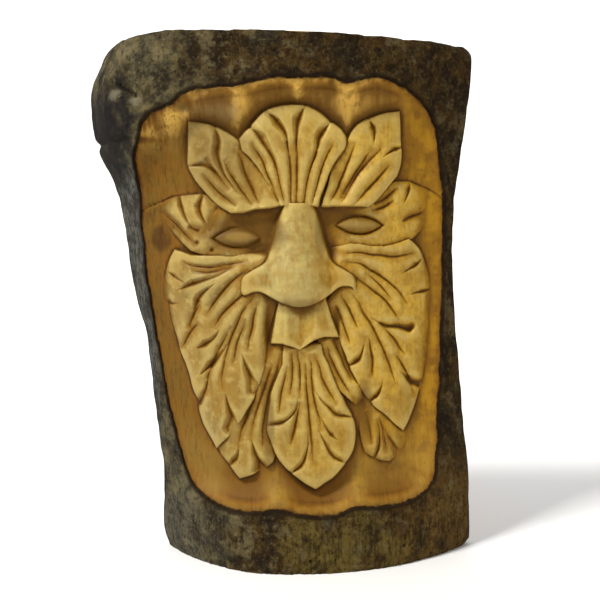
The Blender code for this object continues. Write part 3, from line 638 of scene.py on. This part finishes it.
def hollows(a, b, rows):
    """Depth of soft hollows."""
    depth = np.zeros(a.shape)
    for *shape, deepest in rows:
        depth += deepest * np.exp(-ellipse(a, b, *shape))
    return depth


def leaf_heights(a, b):
    """Height of all the leaves, which lie lower the farther out they are."""
    wander = [OUTLINE_WANDER * soft_noise(a, b, WANDER_LENGTH, seed) for seed in (17, 18)]
    a, b = a + wander[0], b + wander[1]
    relief = np.full(a.shape, NOWHERE)
    brow = np.interp(a, *np.transpose(BROW_LINE))
    fall = FACE_FALL * ellipse(a, b, *FALL_ROUND)
    for leaf in LEAVES + BROW_LEAVES:
        level, corners, cuts, flutes = leaf
        layer = raise_leaf(a, b, corners, level * LEAF_LEVEL) - fall
        for cut in cuts:
            sink_cut(a, b, layer, cut)
        for points in flutes:
            sink_flute(a, b, layer, points, FLUTE_WIDTH, FLUTE_DEPTH)
        if leaf in BROW_LEAVES:
            layer -= WALL_SLOPE * SQUARE * np.clip(brow - b, 0, None) + hollows(a, b, BROW_HOLLOWS)
        else:
            layer -= hollows(a, b, SOCKETS) + hollows(a, b, EYE_HOLLOWS)
        relief = np.maximum(relief, layer)
    return relief


def face_heights(a, b):
    """The flat of the face behind the leaves, with its sockets."""
    out = ellipse(a, b, *FACE_ROUND)
    height = FACE_LEVEL - FACE_ROUNDING * np.clip(out, 0, 1)
    height -= FACE_EDGE_FALL * np.clip(out - 1, 0, None)
    return height - hollows(a, b, SOCKETS) - hollows(a, b, EYE_HOLLOWS)


def add_eye(a, b, relief, at_a, at_b):
    """An almond with a groove round it."""
    along = np.abs(a - at_a) * SQUARE / EYE_HALF_LENGTH
    lid = EYE_HALF_HEIGHT / SQUARE * (1 - np.clip(along, 0, 1) ** 2)
    up = np.abs(b - at_b)
    ball = EYE_LEVEL - EYE_ROUNDING * (0.5 * along ** 2 + (up * SQUARE / EYE_HALF_HEIGHT) ** 1.5)
    relief = np.where(up < lid, ball, relief)
    ends = np.clip((1 + EYE_GROOVE_END - along) / EYE_GROOVE_END, 0, 1)
    groove = np.exp(-((up - lid) / EYE_GROOVE_WIDTH) ** 2) * ends
    return relief - EYE_GROOVE * groove


def nose_heights(a, b):
    """A ridge that swells to a rounded tip between two low wings, with a curved underside."""
    rows = smooth_line(NOSE_ROWS, 4)[::-1]
    half_width, core, crest, wing = (np.interp(b, rows[:, 0], rows[:, n]) for n in (1, 2, 3, 4))
    under = np.interp(a, *smooth_line(NOSE_UNDERSIDE, 5).T)
    out = np.abs(a - NOSE_MIDDLE)
    bulge = np.clip(1 - (out / core) ** 2, 0, 1) ** 1.1
    rounded = 1 - NOSE_TUCK * (1 - np.clip((b - under) / NOSE_TURN, 0, 1)) ** 2
    edge = np.clip(out / half_width, 0, 1) ** 3
    height = NOSE_TIP * (wing * (1 - WING_DROOP * edge) + (crest - wing) * bulge * rounded)
    height -= NOSE_SIDE_SLOPE * SQUARE * np.clip(out - half_width, 0, None)
    beyond = np.clip(b - NOSE_TOP, 0, None) + np.clip(under - b, 0, None)
    return height - WALL_SLOPE * SQUARE * beyond


def lip_heights(a, b):
    """The mouth block under the nose, with a hollow down its middle."""
    left, right = (np.interp(b, *np.transpose(side)) for side in (LIP_LEFT, LIP_RIGHT))
    bottom = np.interp(a, *np.transpose(LIP_BOTTOM))
    facets = LIP_LEVEL * np.interp(a, *np.transpose(LIP_FACETS))
    beyond = np.maximum(np.maximum(left - a, a - right), bottom - b)
    height = facets - WALL_SLOPE * SQUARE * np.clip(beyond, 0, None)
    return np.where(b > LIP_TOP, NOWHERE, height)


def front_fields(a, b):
    """Height of the finished front above the flat back, the distance in from the edge of the sunk
    ground, which is negative on the bark, and the height of the carving above its ground."""
    log, out = log_surface(a, b)
    edge = smooth_line(RECESS + RECESS[:1], 5)
    distance = nearest(edge, a, b)[0]
    inward = np.where(inside(edge, a, b), distance, -distance)
    ragged = soft_noise(a, b, 5, 3) + 1.4 * soft_noise(a, b, 17, 4)
    inward += EDGE_RAGGED * ragged * np.clip(1 - distance / RAGGED_REACH, 0, 1)
    sunk = inward > 0
    distance = np.abs(inward)
    lumps = soft_noise(a, b, LUMP_LENGTH, 1) + 0.5 * soft_noise(a, b, 0.45 * LUMP_LENGTH, 2)
    lumps *= np.clip(b / PLAIN_END, 0, 1) * np.clip((GRID_ROWS - b) / PLAIN_END, 0, 1)
    bark = log + BARK_LUMPS * lumps * (1 - out ** 4) + knot(a, b) + bark_detail(a, b)

    sink = GROUND_SINK_RIM + (GROUND_SINK_MIDDLE - GROUND_SINK_RIM) * (1 - out ** 2)
    down = np.clip(distance * SQUARE / COVE_WIDTH, 0, 1)
    step = BARK_THICKNESS * np.clip(distance / STEP_FULL_AT, 0, 1)
    cove = step + (sink - BARK_THICKNESS) * (1 - (1 - down) ** 2)
    cove += gouge_facets(a, b) * np.clip(distance / GOUGES_FULL_AT, 0, 1)
    cove += chisel_marks(a, b) * np.clip(distance / CHISEL_FULL_AT, 0, 1)
    for points in GROUND_LINES:
        sink_flute(a, b, log, points, GROUND_LINE_WIDTH, GROUND_LINE_DEPTH)

    relief = np.maximum(face_heights(a, b), leaf_heights(a, b))
    relief = relief - worm_holes(a, b) - hollows(a, b, PITS)
    for at_a, at_b in EYES:
        relief = add_eye(a, b, relief, at_a, at_b)
    relief = np.maximum(relief, nose_heights(a, b))
    relief = np.maximum(relief, lip_heights(a, b))
    carved = np.maximum(log - cove, log - sink + relief - knife_marks(a, b))
    return np.where(sunk, carved, bark), inward, np.where(sunk, carved - (log - cove), 0)


def bark_detail(a, b):
    """Height of a rough crust with pits, drawn out into fibres where it has worn away."""
    crust = sum(share * soft_noise(a + 0.4 * b, b - 0.3 * a, size, seed)
                for share, size, seed in ((0.4, 11, 5), (0.35, 5.3, 6), (0.25, 2.7, 7)))
    fibres = 0.6 * soft_noise(a, b / 9, 2.9, 13) + 0.4 * soft_noise(a + b / 9, b / 5, 5.5, 14)
    worn = ramp(b, *FIBRES_BELOW) + ramp(a, *FIBRES_RIGHT_OF) * ramp(b, *RIGHT_FIBRES_BELOW)
    pit = 0.6 * soft_noise(a, b, 3.1, 8) + 0.6 * soft_noise(a, b, 6.5, 9) - 0.3
    rough = crust + np.clip(worn, 0, 1) * (0.9 * fibres - 0.5 * crust)
    return CRUST_DEPTH * np.clip(rough - 0.35, -1, 0) - PIT_DEPTH * np.clip(pit, 0, 1)


def chisel_marks(a, b):
    """Depth of long gouge strokes that run up the ground, roughest along its left."""
    strokes = np.abs(soft_noise(a + b / 14, b / 5, 4.2, 11))
    strokes += 0.5 * np.abs(soft_noise(a, b / 3, 2.6, 12))
    rough = 0.35 + 0.65 * np.clip((-60 - a) / 40, 0, 1)
    return CHISEL_DEPTH * rough * strokes


def knife_marks(a, b):
    """Depth of small uneven facets that the knife left all over the carving."""
    facets = soft_noise(a + b / 3, b / 2, 4.6, 15) + 0.6 * soft_noise(a, b, 2.7, 16)
    return KNIFE_DEPTH * np.abs(facets)


def worm_holes(a, b):
    """Depth of two small round holes under the left eye."""
    sunk = np.zeros(a.shape)
    for at_a, at_b in WORM_HOLES:
        sunk += WORM_HOLE_DEPTH * np.exp(-((a - at_a) ** 2 + (b - at_b) ** 2) / WORM_HOLE_SIZE ** 2)
    return sunk


def blurred(field, reach):
    """The field smoothed over about that many cells each way."""
    span = 2 * reach + 1
    for axis in (0, 1):
        for _ in range(3):
            margin = [(0, 0), (0, 0)]
            margin[axis] = (reach + 1, reach)
            sums = np.cumsum(np.pad(field, margin, mode="edge"), axis=axis)
            field = (np.take(sums, range(span, sums.shape[axis]), axis)
                     - np.take(sums, range(sums.shape[axis] - span), axis)) / span
    return field


def dense_slab():
    """Places of the whole slab's surface, row by row from the base up: up the left band from the
    back, across the front and down the right band. With them go the masks for the finish."""
    s, t = np.meshgrid(np.linspace(0, 1, COLUMNS), np.linspace(0, 1, ROWS))
    b = t * GRID_ROWS
    left, right = side_at(LEFT_SIDE, b[:, 0])[:, None], side_at(RIGHT_SIDE, b[:, 0])[:, None]
    a = left + s * (right - left)
    height, edge, relief = (field.reshape(a.shape) for field in front_fields(a.ravel(), b.ravel()))
    height = np.minimum(height, cad_high.y - cad_low.y)

    share = np.linspace(0, 1, BAND_STEPS + 1)[:-1]
    band_left, band_right = share * height[:, :1], share[::-1] * height[:, -1:]

    def around(on_left, across, on_right):
        return np.hstack([np.broadcast_to(on_left, band_left.shape), across,
                          np.broadcast_to(on_right, band_right.shape)])

    all_a, all_b = around(left, a, right), around(b[:, :1], b, b[:, :1])
    all_h = np.hstack([band_left, height, band_right])
    inward = np.minimum(all_a - left, right - all_a)
    wear = SIDE_WEAR * (0.5 + 0.6 * soft_noise(all_b, all_h / SQUARE, 27, 21)
                        + 0.3 * soft_noise(all_b, all_h / SQUARE, 10, 22))
    wear = np.clip(wear, 0, None) * np.clip(1 - inward / SIDE_WEAR_REACH, 0, 1)
    all_a = all_a + wear * np.where(all_a - left < right - all_a, 1, -1)
    top_wear = TOP_WEAR * (0.5 + 0.6 * soft_noise(all_a, all_h / SQUARE, 19, 23)
                           + 0.4 * soft_noise(all_a, all_h / SQUARE, 7, 24))
    near_top = np.clip(1 - (GRID_ROWS - all_b) / TOP_WEAR_REACH, 0, 1)
    all_b = all_b - np.clip(top_wear, 0, None) * near_top
    masks = {"edge": around(edge[:, :1], edge, edge[:, -1:]), "relief": around(0, relief, 0)}
    for name, (reach, full) in DEPTH_MASKS.items():
        masks[name] = around(0, np.clip((blurred(height, reach) - height) / full, -1, 1), 0)
    return all_a, all_h, all_b, masks


def slab_object():
    """The whole slab as one closed mesh with its masks, thinned where it is plain."""
    a, height, b, masks = dense_slab()
    rows, around = a.shape
    middle = (side_at(LEFT_SIDE, b).min() + side_at(RIGHT_SIDE, b).max()) / 2
    points = np.stack([(a - middle) * SQUARE, cad_high.y - height, b * SQUARE], axis=-1)
    number = np.arange(rows * around).reshape(rows, around)
    quads = np.stack([number[:-1, :-1], number[:-1, 1:], number[1:, 1:], number[1:, :-1]], axis=-1)
    faces = quads.reshape(-1, 4).tolist()
    back = number[:, 0].tolist() + number[::-1, -1].tolist()
    sawn_faces = [back, number[0, ::-1].tolist(), number[-1].tolist()]

    data = bpy.data.meshes.new("carved_surface")
    data.from_pydata(points.reshape(-1, 3).tolist(), [], faces + sawn_faces)
    for name, values in masks.items():
        mask = data.attributes.new(name, "FLOAT", "POINT")
        mask.data.foreach_set("value", values.ravel().astype(np.float32))
    kinds = np.repeat([0, 1], [len(faces), len(sawn_faces)]).astype(np.int32)
    data.materials.append(weathered_front())
    data.materials.append(sawn_wood())
    data.polygons.foreach_set("material_index", kinds)
    piece = bpy.data.objects.new("carved_surface", data)
    bpy.context.scene.collection.objects.link(piece)

    thinning = piece.modifiers.new("thin", "DECIMATE")
    thinning.ratio = TRIANGLES / (2 * len(faces))
    thinning.use_collapse_triangulate = True
    evaluated = piece.evaluated_get(bpy.context.evaluated_depsgraph_get())
    thinned = bpy.data.meshes.new_from_object(evaluated)
    piece.modifiers.clear()
    piece.data = thinned
    piece.data.name = "carved_surface"
    bpy.data.meshes.remove(data)
    piece.data.shade_smooth()
    piece.data.set_sharp_from_angle(angle=math.radians(SHARP_ANGLE))
    return piece


def tone(red, green, blue):
    """A colour as seen on a screen, turned into the amounts of light that a material takes."""
    shares = [part / 255 for part in (red, green, blue)]
    light = [s / 12.92 if s < 0.04045 else ((s + 0.055) / 1.055) ** 2.4 for s in shares]
    return (*light, 1)


class Finish:
    """A material and short calls for its nodes."""

    def __init__(self, name):
        self.material = bpy.data.materials.new(name)
        self.material.use_nodes = True
        self.tree = self.material.node_tree
        self.shader = self.tree.nodes["Principled BSDF"]
        self.place = self.tree.nodes.new("ShaderNodeTexCoord").outputs["Object"]
        parts = self.tree.nodes.new("ShaderNodeSeparateXYZ")
        self.put(self.place, parts.inputs[0])
        self.across, self.back, self.up = parts.outputs

    def put(self, value, socket):
        """Links the value to the socket if it comes from a node, and otherwise sets it there."""
        if isinstance(value, bpy.types.NodeSocket):
            self.tree.links.new(value, socket)
        else:
            socket.default_value = value

    def math(self, operation, *values):
        node = self.tree.nodes.new("ShaderNodeMath")
        node.operation = operation
        for value, socket in zip(values, node.inputs):
            self.put(value, socket)
        return node.outputs[0]

    def times(self, first, second):
        return self.math("MULTIPLY", first, second)

    def plus(self, first, second):
        return self.math("ADD", first, second)

    def less(self, first, second):
        return self.math("SUBTRACT", first, second)

    def stretched(self, x, y, z):
        node = self.tree.nodes.new("ShaderNodeVectorMath")
        node.operation = "MULTIPLY"
        self.put(self.place, node.inputs[0])
        node.inputs[1].default_value = (x, y, z)
        return node.outputs[0]

    def noise(self, scale, detail=3, stretch=(1, 1, 1), roughness=0.6):
        node = self.tree.nodes.new("ShaderNodeTexNoise")
        self.put(self.stretched(*stretch), node.inputs["Vector"])
        node.inputs["Scale"].default_value = scale
        node.inputs["Detail"].default_value = detail
        node.inputs["Roughness"].default_value = roughness
        return node.outputs["Fac"]

    def spot(self, across, up, half_width, half_height, ragged):
        """One at that place of the front, fading out to nothing at a ragged edge."""
        x = self.math("DIVIDE", self.less(self.across, across), half_width)
        z = self.math("DIVIDE", self.less(self.up, up), half_height)
        reach = self.plus(self.times(x, x), self.times(z, z))
        return self.step(self.plus(reach, ragged), 1.1, 0.1)

    def mask(self, name):
        node = self.tree.nodes.new("ShaderNodeAttribute")
        node.attribute_name = name
        return node.outputs["Fac"]

    def step(self, value, low, high, start=0.0, end=1.0):
        """Runs softly from start to end while the value runs from low to high."""
        node = self.tree.nodes.new("ShaderNodeMapRange")
        node.interpolation_type = "SMOOTHSTEP"
        for given, socket in zip((value, low, high, start, end), node.inputs):
            self.put(given, socket)
        return node.outputs[0]

    def mix(self, share, first, second):
        """That share of the second colour over the first."""
        node = self.tree.nodes.new("ShaderNodeMix")
        node.data_type = "RGBA"
        for given, number in ((share, 0), (first, 6), (second, 7)):
            self.put(given, node.inputs[number])
        return node.outputs[2]

    def blend_values(self, share, first, second):
        node = self.tree.nodes.new("ShaderNodeMix")
        for given, number in ((share, 0), (first, 2), (second, 3)):
            self.put(given, node.inputs[number])
        return node.outputs[0]

    def finish(self, colour, roughness, sheen, height, depth):
        """Links what was worked out, with the height as a bump of that depth."""
        bump = self.tree.nodes.new("ShaderNodeBump")
        bump.inputs["Strength"].default_value = 1.0
        bump.inputs["Distance"].default_value = depth
        self.put(height, bump.inputs["Height"])
        self.put(bump.outputs[0], self.shader.inputs["Normal"])
        self.put(colour, self.shader.inputs["Base Color"])
        self.put(roughness, self.shader.inputs["Roughness"])
        self.put(sheen, self.shader.inputs["Specular IOR Level"])
        return self.material


def bark_colour(f, crevice):
    """Crusty bark with pale flecks and dark pits: greyer up the left, browner and darker along the
    top and the right, with moss in the fibres at the bottom, and nearly black on the knot."""
    across, up = f.across, f.up
    coarse, fine = f.noise(60, 4), f.noise(230, 4, roughness=0.7)
    streak = f.noise(420, 3, stretch=(1, 1, 0.14))
    patch = f.noise(24, 3)
    grey = f.mix(f.step(coarse, 0.35, 0.65), tone(54, 50, 38), tone(94, 85, 58))
    brown = f.mix(f.step(coarse, 0.35, 0.65), tone(34, 22, 8), tone(66, 48, 19))
    drift = f.times(f.less(patch, 0.5), 0.35)
    colour = f.mix(f.step(f.plus(across, drift), -0.13, -0.02), grey, brown)
    colour = f.mix(f.step(patch, 0.50, 0.62, 0, 0.45), colour, tone(30, 24, 14))
    strip = f.times(f.step(across, -0.115, -0.130), f.step(up, 0.40, 0.36))
    lined = f.noise(330, 3, stretch=(1, 1, 0.10))
    side = f.mix(f.step(lined, 0.42, 0.62), tone(92, 94, 90), tone(44, 43, 40))
    colour = f.mix(f.times(strip, 0.8), colour, side)

    low = f.step(up, 0.085, 0.035)
    moss = f.times(f.times(low, f.step(patch, 0.47, 0.60)), f.step(across, -0.08, 0.02))
    colour = f.mix(f.times(moss, 0.7), colour, tone(102, 86, 38))
    low_right = f.times(f.step(up, 0.12, 0.06), f.step(across, 0.08, 0.15, 0, 0.6))
    colour = f.mix(low_right, colour, tone(96, 70, 28))
    low_left = f.times(low, f.step(across, -0.04, -0.10, 0, 0.6))
    colour = f.mix(low_left, colour, tone(88, 87, 76))
    low_streak = f.times(f.step(streak, 0.48, 0.66), f.plus(0.2, f.times(low, 0.5)))
    colour = f.mix(low_streak, colour, tone(34, 26, 15))

    plates, rough = f.noise(40, 4), f.noise(170, 6, roughness=0.8)
    to_left = f.step(across, 0.04, -0.06)
    crusty = f.times(f.less(1.0, f.times(strip, 0.6)), f.plus(0.55, f.times(to_left, 0.35)))
    colour = f.mix(f.step(plates, 0.49, 0.37, 0, 0.65), colour, tone(26, 20, 13))
    pale_plates = f.times(f.step(plates, 0.54, 0.64, 0, 0.55), crusty)
    colour = f.mix(pale_plates, colour, tone(110, 100, 72))
    pale_crust = f.times(f.step(rough, 0.48, 0.72, 0, 0.65), crusty)
    colour = f.mix(pale_crust, colour, tone(112, 100, 66))
    colour = f.mix(f.step(rough, 0.52, 0.30, 0, 0.70), colour, tone(26, 19, 10))
    flecks = f.times(f.step(fine, 0.60, 0.70, 0, 0.55), crusty)
    colour = f.mix(flecks, colour, tone(122, 110, 74))
    colour = f.mix(f.step(fine, 0.46, 0.34, 0, 0.65), colour, tone(18, 13, 8))

    black = f.spot(*BLACK_KNOT, f.times(f.less(coarse, 0.5), 2))
    colour = f.mix(f.times(black, 0.88), colour, tone(24, 22, 23))
    for place_and_size in CHIPPED_BARK:
        chipped = f.spot(*place_and_size, f.times(f.less(rough, 0.5), 5))
        colour = f.mix(f.times(chipped, 0.45), colour, tone(126, 120, 98))
    # Darker in the bark's crevices: its own dark pits, and painted shade.
    colour = f.mix(f.step(crevice, 0.15, 0.80, 0, 0.85), colour, tone(20, 15, 10))
    return colour, fine, streak


def weathered_front():
    """Waxed yellow carving in a darker ground, with bark round it."""
    f = Finish("weathered front")
    across, up = f.across, f.up
    edge, crevice, fold = f.mask("edge"), f.mask("crevice"), f.mask("fold")
    carved = f.step(f.mask("relief"), 0.0015, 0.0055)

    fibre = f.noise(900, 3, stretch=(1, 1, 0.06))
    grain = f.noise(260, 3, stretch=(1, 1, 0.10))
    streak = f.noise(330, 3, stretch=(1, 1, 0.16))
    blotch, warmth, mottle = f.noise(18, 3), f.noise(52, 4), f.noise(130, 4)
    uneven = f.less(warmth, 0.5)

    # The raised wood is greyer and darker towards the left; the darkening there is painted shade.
    raised = f.mix(f.step(across, -0.08, 0.12), tone(124, 104, 52), tone(190, 150, 46))
    raised = f.mix(f.step(blotch, 0.40, 0.62, 0, 0.6), raised, tone(148, 112, 34))
    # Paler and greyer over the nose.
    raised = f.mix(f.times(f.spot(*PALE_NOSE, uneven), 0.7), raised, tone(162, 150, 94))
    raised = f.mix(f.times(f.spot(*YELLOW_CHEEK, uneven), 0.6), raised, tone(160, 118, 24))
    raised = f.mix(f.step(mottle, 0.46, 0.62, 0, 0.5), raised, tone(140, 102, 30))
    raised = f.mix(f.step(mottle, 0.46, 0.34, 0, 0.4), raised, tone(186, 162, 86))

    # The ground is darker towards the left as painted shadow of the recess wall, and yellower
    # towards the right.
    ground = f.mix(f.step(across, -0.13, 0.05), tone(104, 77, 25), tone(160, 118, 24))
    ground = f.mix(f.step(warmth, 0.40, 0.60, 0, 0.6), ground, tone(116, 78, 18))
    # Painted light on the ground along the top, where its cove lies in shade.
    painted_light_top = f.times(f.step(up, 0.385, 0.425), f.step(across, 0.13, 0.07, 0, 0.80))
    ground = f.mix(painted_light_top, ground, tone(224, 180, 88))
    ground = f.mix(f.step(f.noise(75, 4), 0.52, 0.62, 0, 0.45), ground, tone(96, 62, 14))
    ground = f.mix(f.times(f.spot(*PALE_GROUND, uneven), 0.80), ground, tone(186, 162, 108))
    ground = f.mix(f.times(f.step(up, 0.16, 0.07), 0.45), ground, tone(146, 118, 58))
    tooled = f.times(f.step(streak, 0.54, 0.64), f.step(across, -0.05, -0.11))
    ground = f.mix(f.times(tooled, 0.6), ground, tone(78, 50, 14))

    wood = f.mix(carved, ground, raised)
    wood = f.mix(f.times(f.step(grain, 0.45, 0.70), 0.30), wood, tone(112, 78, 20))
    for place_and_size in DARK_STAINS:
        wood = f.mix(f.times(f.spot(*place_and_size, uneven), 0.75), wood, tone(62, 36, 10))
    # A browner band near the bark's edge, partly painted shade in the cove under the bark.
    wood = f.mix(f.step(edge, 8.0, 1.0, 0, 0.45), wood, tone(98, 58, 20))
    # Painted shade in the deep hollows between the leaves, below the top.
    below = f.times(f.step(f.mask("deep"), 0.20, 0.90, 0, 0.50), f.step(up, 0.43, 0.38))
    wood = f.mix(below, wood, tone(84, 52, 12))
    # Dark wax and painted shade in the hollows of the wood.
    for mask, low, high, strength, shade in HOLLOW_WAX_AND_SHADE:
        wood = f.mix(f.step(f.mask(mask), low, high, 0, strength), wood, tone(*shade))
    # Painted highlight on the ridges of the carving.
    ridge = f.times(f.step(fold, -0.04, -0.50, 0, 0.42), carved)
    wood = f.mix(ridge, wood, tone(200, 178, 106))
    # Painted shade on the sockets, the left brow, the gaps in the beard, and under and beside the
    # nose.
    for strength, place_and_size in PAINTED_SHADE_PLACES:
        brown = f.times(f.spot(*place_and_size, uneven), strength)
        wood = f.mix(brown, wood, tone(92, 64, 18))
    # Painted light on the ball of the left eye.
    wood = f.mix(f.times(f.spot(*LIT_EYE, 0.0), 0.6), wood, tone(146, 116, 50))
    flecks = f.times(f.step(f.noise(480, 2, stretch=(1, 1, 0.45)), 0.66, 0.74), 0.45)
    wood = f.mix(flecks, wood, tone(66, 42, 10))

    bark, fine, bark_streak = bark_colour(f, crevice)
    ragged = f.plus(edge, f.times(f.less(f.noise(160, 3), 0.5), 3.0))
    bark = f.mix(f.step(ragged, -3.5, 0.0, 0, 0.85), bark, tone(30, 20, 11))
    on_wood = f.step(ragged, 1.2, 2.4)
    colour = f.mix(on_wood, bark, wood)
    wood_rough = f.blend_values(carved, 0.62, f.step(blotch, 0.3, 0.7, 0.42, 0.55))
    roughness = f.blend_values(on_wood, 0.88, wood_rough)
    wood_bump = f.times(f.plus(fibre, grain), 0.10)
    bark_bump = f.plus(fine, f.times(bark_streak, 0.7))
    waxed = f.blend_values(carved, 0.12, f.step(fold, 0.0, 0.40, 0.24, 0.08))
    sheen = f.blend_values(on_wood, 0.08, waxed)
    bump = f.blend_values(on_wood, bark_bump, wood_bump)
    return f.finish(colour, roughness, sheen, bump, FRONT_BUMP)


def sawn_wood():
    """Bare wood of the flat back and the two ends, with growth rings round the pith."""
    f = Finish("sawn wood")
    fibre = f.noise(500, 3, stretch=(1, 1, 0.05))
    blotch = f.noise(14, 4)
    back = f.less(f.back, PITH_BEHIND)
    from_pith = f.math("SQRT", f.plus(f.times(f.across, f.across), f.times(back, back)))
    from_pith = f.plus(from_pith, f.times(f.noise(7, 2, stretch=(1, 1, 0.35)), 0.030))
    ring = f.math("SINE", f.times(from_pith, 2 * math.pi / RING_SPACING))
    colour = f.mix(f.step(blotch, 0.35, 0.65), tone(172, 136, 82), tone(150, 114, 66))
    colour = f.mix(f.step(ring, 0.1, 0.95, 0, 0.45), colour, tone(112, 78, 40))
    colour = f.mix(f.times(f.step(fibre, 0.45, 0.65), 0.4), colour, tone(104, 74, 38))
    return f.finish(colour, 0.75, 0.2, fibre, SAWN_BUMP)


def plain(name, colour, roughness):
    f = Finish(name)
    f.shader.inputs["Base Color"].default_value = colour
    f.shader.inputs["Roughness"].default_value = roughness
    return f.material


def floor():
    """A pale floor that turns up into a backdrop far behind the slab."""
    profile = [(FLOOR_FRONT, 0.0), (FLOOR_BACK, 0.0)]
    for turn in np.linspace(0.1, math.pi / 2, 12):
        profile.append((FLOOR_BACK + BEND * math.sin(turn), BEND - BEND * math.cos(turn)))
    profile.append((FLOOR_BACK + BEND, BACKDROP_TOP))
    data = bpy.data.meshes.new("floor")
    points = [(x, y, z) for x in (-FLOOR_HALF_WIDTH, FLOOR_HALF_WIDTH) for y, z in profile]
    count = len(profile)
    data.from_pydata(points, [], [(i, i + 1, count + i + 1, count + i) for i in range(count - 1)])
    data.shade_smooth()
    data.materials.append(plain("pale floor", (0.90, 0.90, 0.90, 1), 0.9))
    sheet = bpy.data.objects.new("floor", data)
    bpy.context.scene.collection.objects.link(sheet)


def lamp(name, place, aim, size, watts, colour):
    light = bpy.data.lights.new(name, "AREA")
    light.color = colour
    light.size = size
    light.energy = watts
    made = bpy.data.objects.new(name, light)
    made.location = place
    made.rotation_euler = (Vector(aim) - Vector(place)).to_track_quat("-Z", "Y").to_euler()
    bpy.context.scene.collection.objects.link(made)


def studio():
    """White light from all round, and the lamps."""
    world = bpy.data.worlds.new("studio")
    world.use_nodes = True
    world.node_tree.nodes["Background"].inputs["Color"].default_value = (1, 1, 1, 1)
    world.node_tree.nodes["Background"].inputs["Strength"].default_value = WORLD_LIGHT
    bpy.context.scene.world = world
    bpy.context.scene.view_settings.view_transform = "Standard"
    for row in LAMPS:
        lamp(*row)


def camera():
    lens = bpy.data.cameras.new("camera")
    lens.lens = LENS
    made = bpy.data.objects.new("camera", lens)
    made.location = (CAMERA_ACROSS, cad_high.y - CAMERA_AWAY, CAMERA_UP)
    made.rotation_euler = (math.radians(90 - CAMERA_DOWN), 0, 0)
    bpy.context.scene.collection.objects.link(made)
    bpy.context.scene.camera = made


slab = slab_object()
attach(slab, "root")
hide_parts("carved_log")
floor()
studio()
camera()
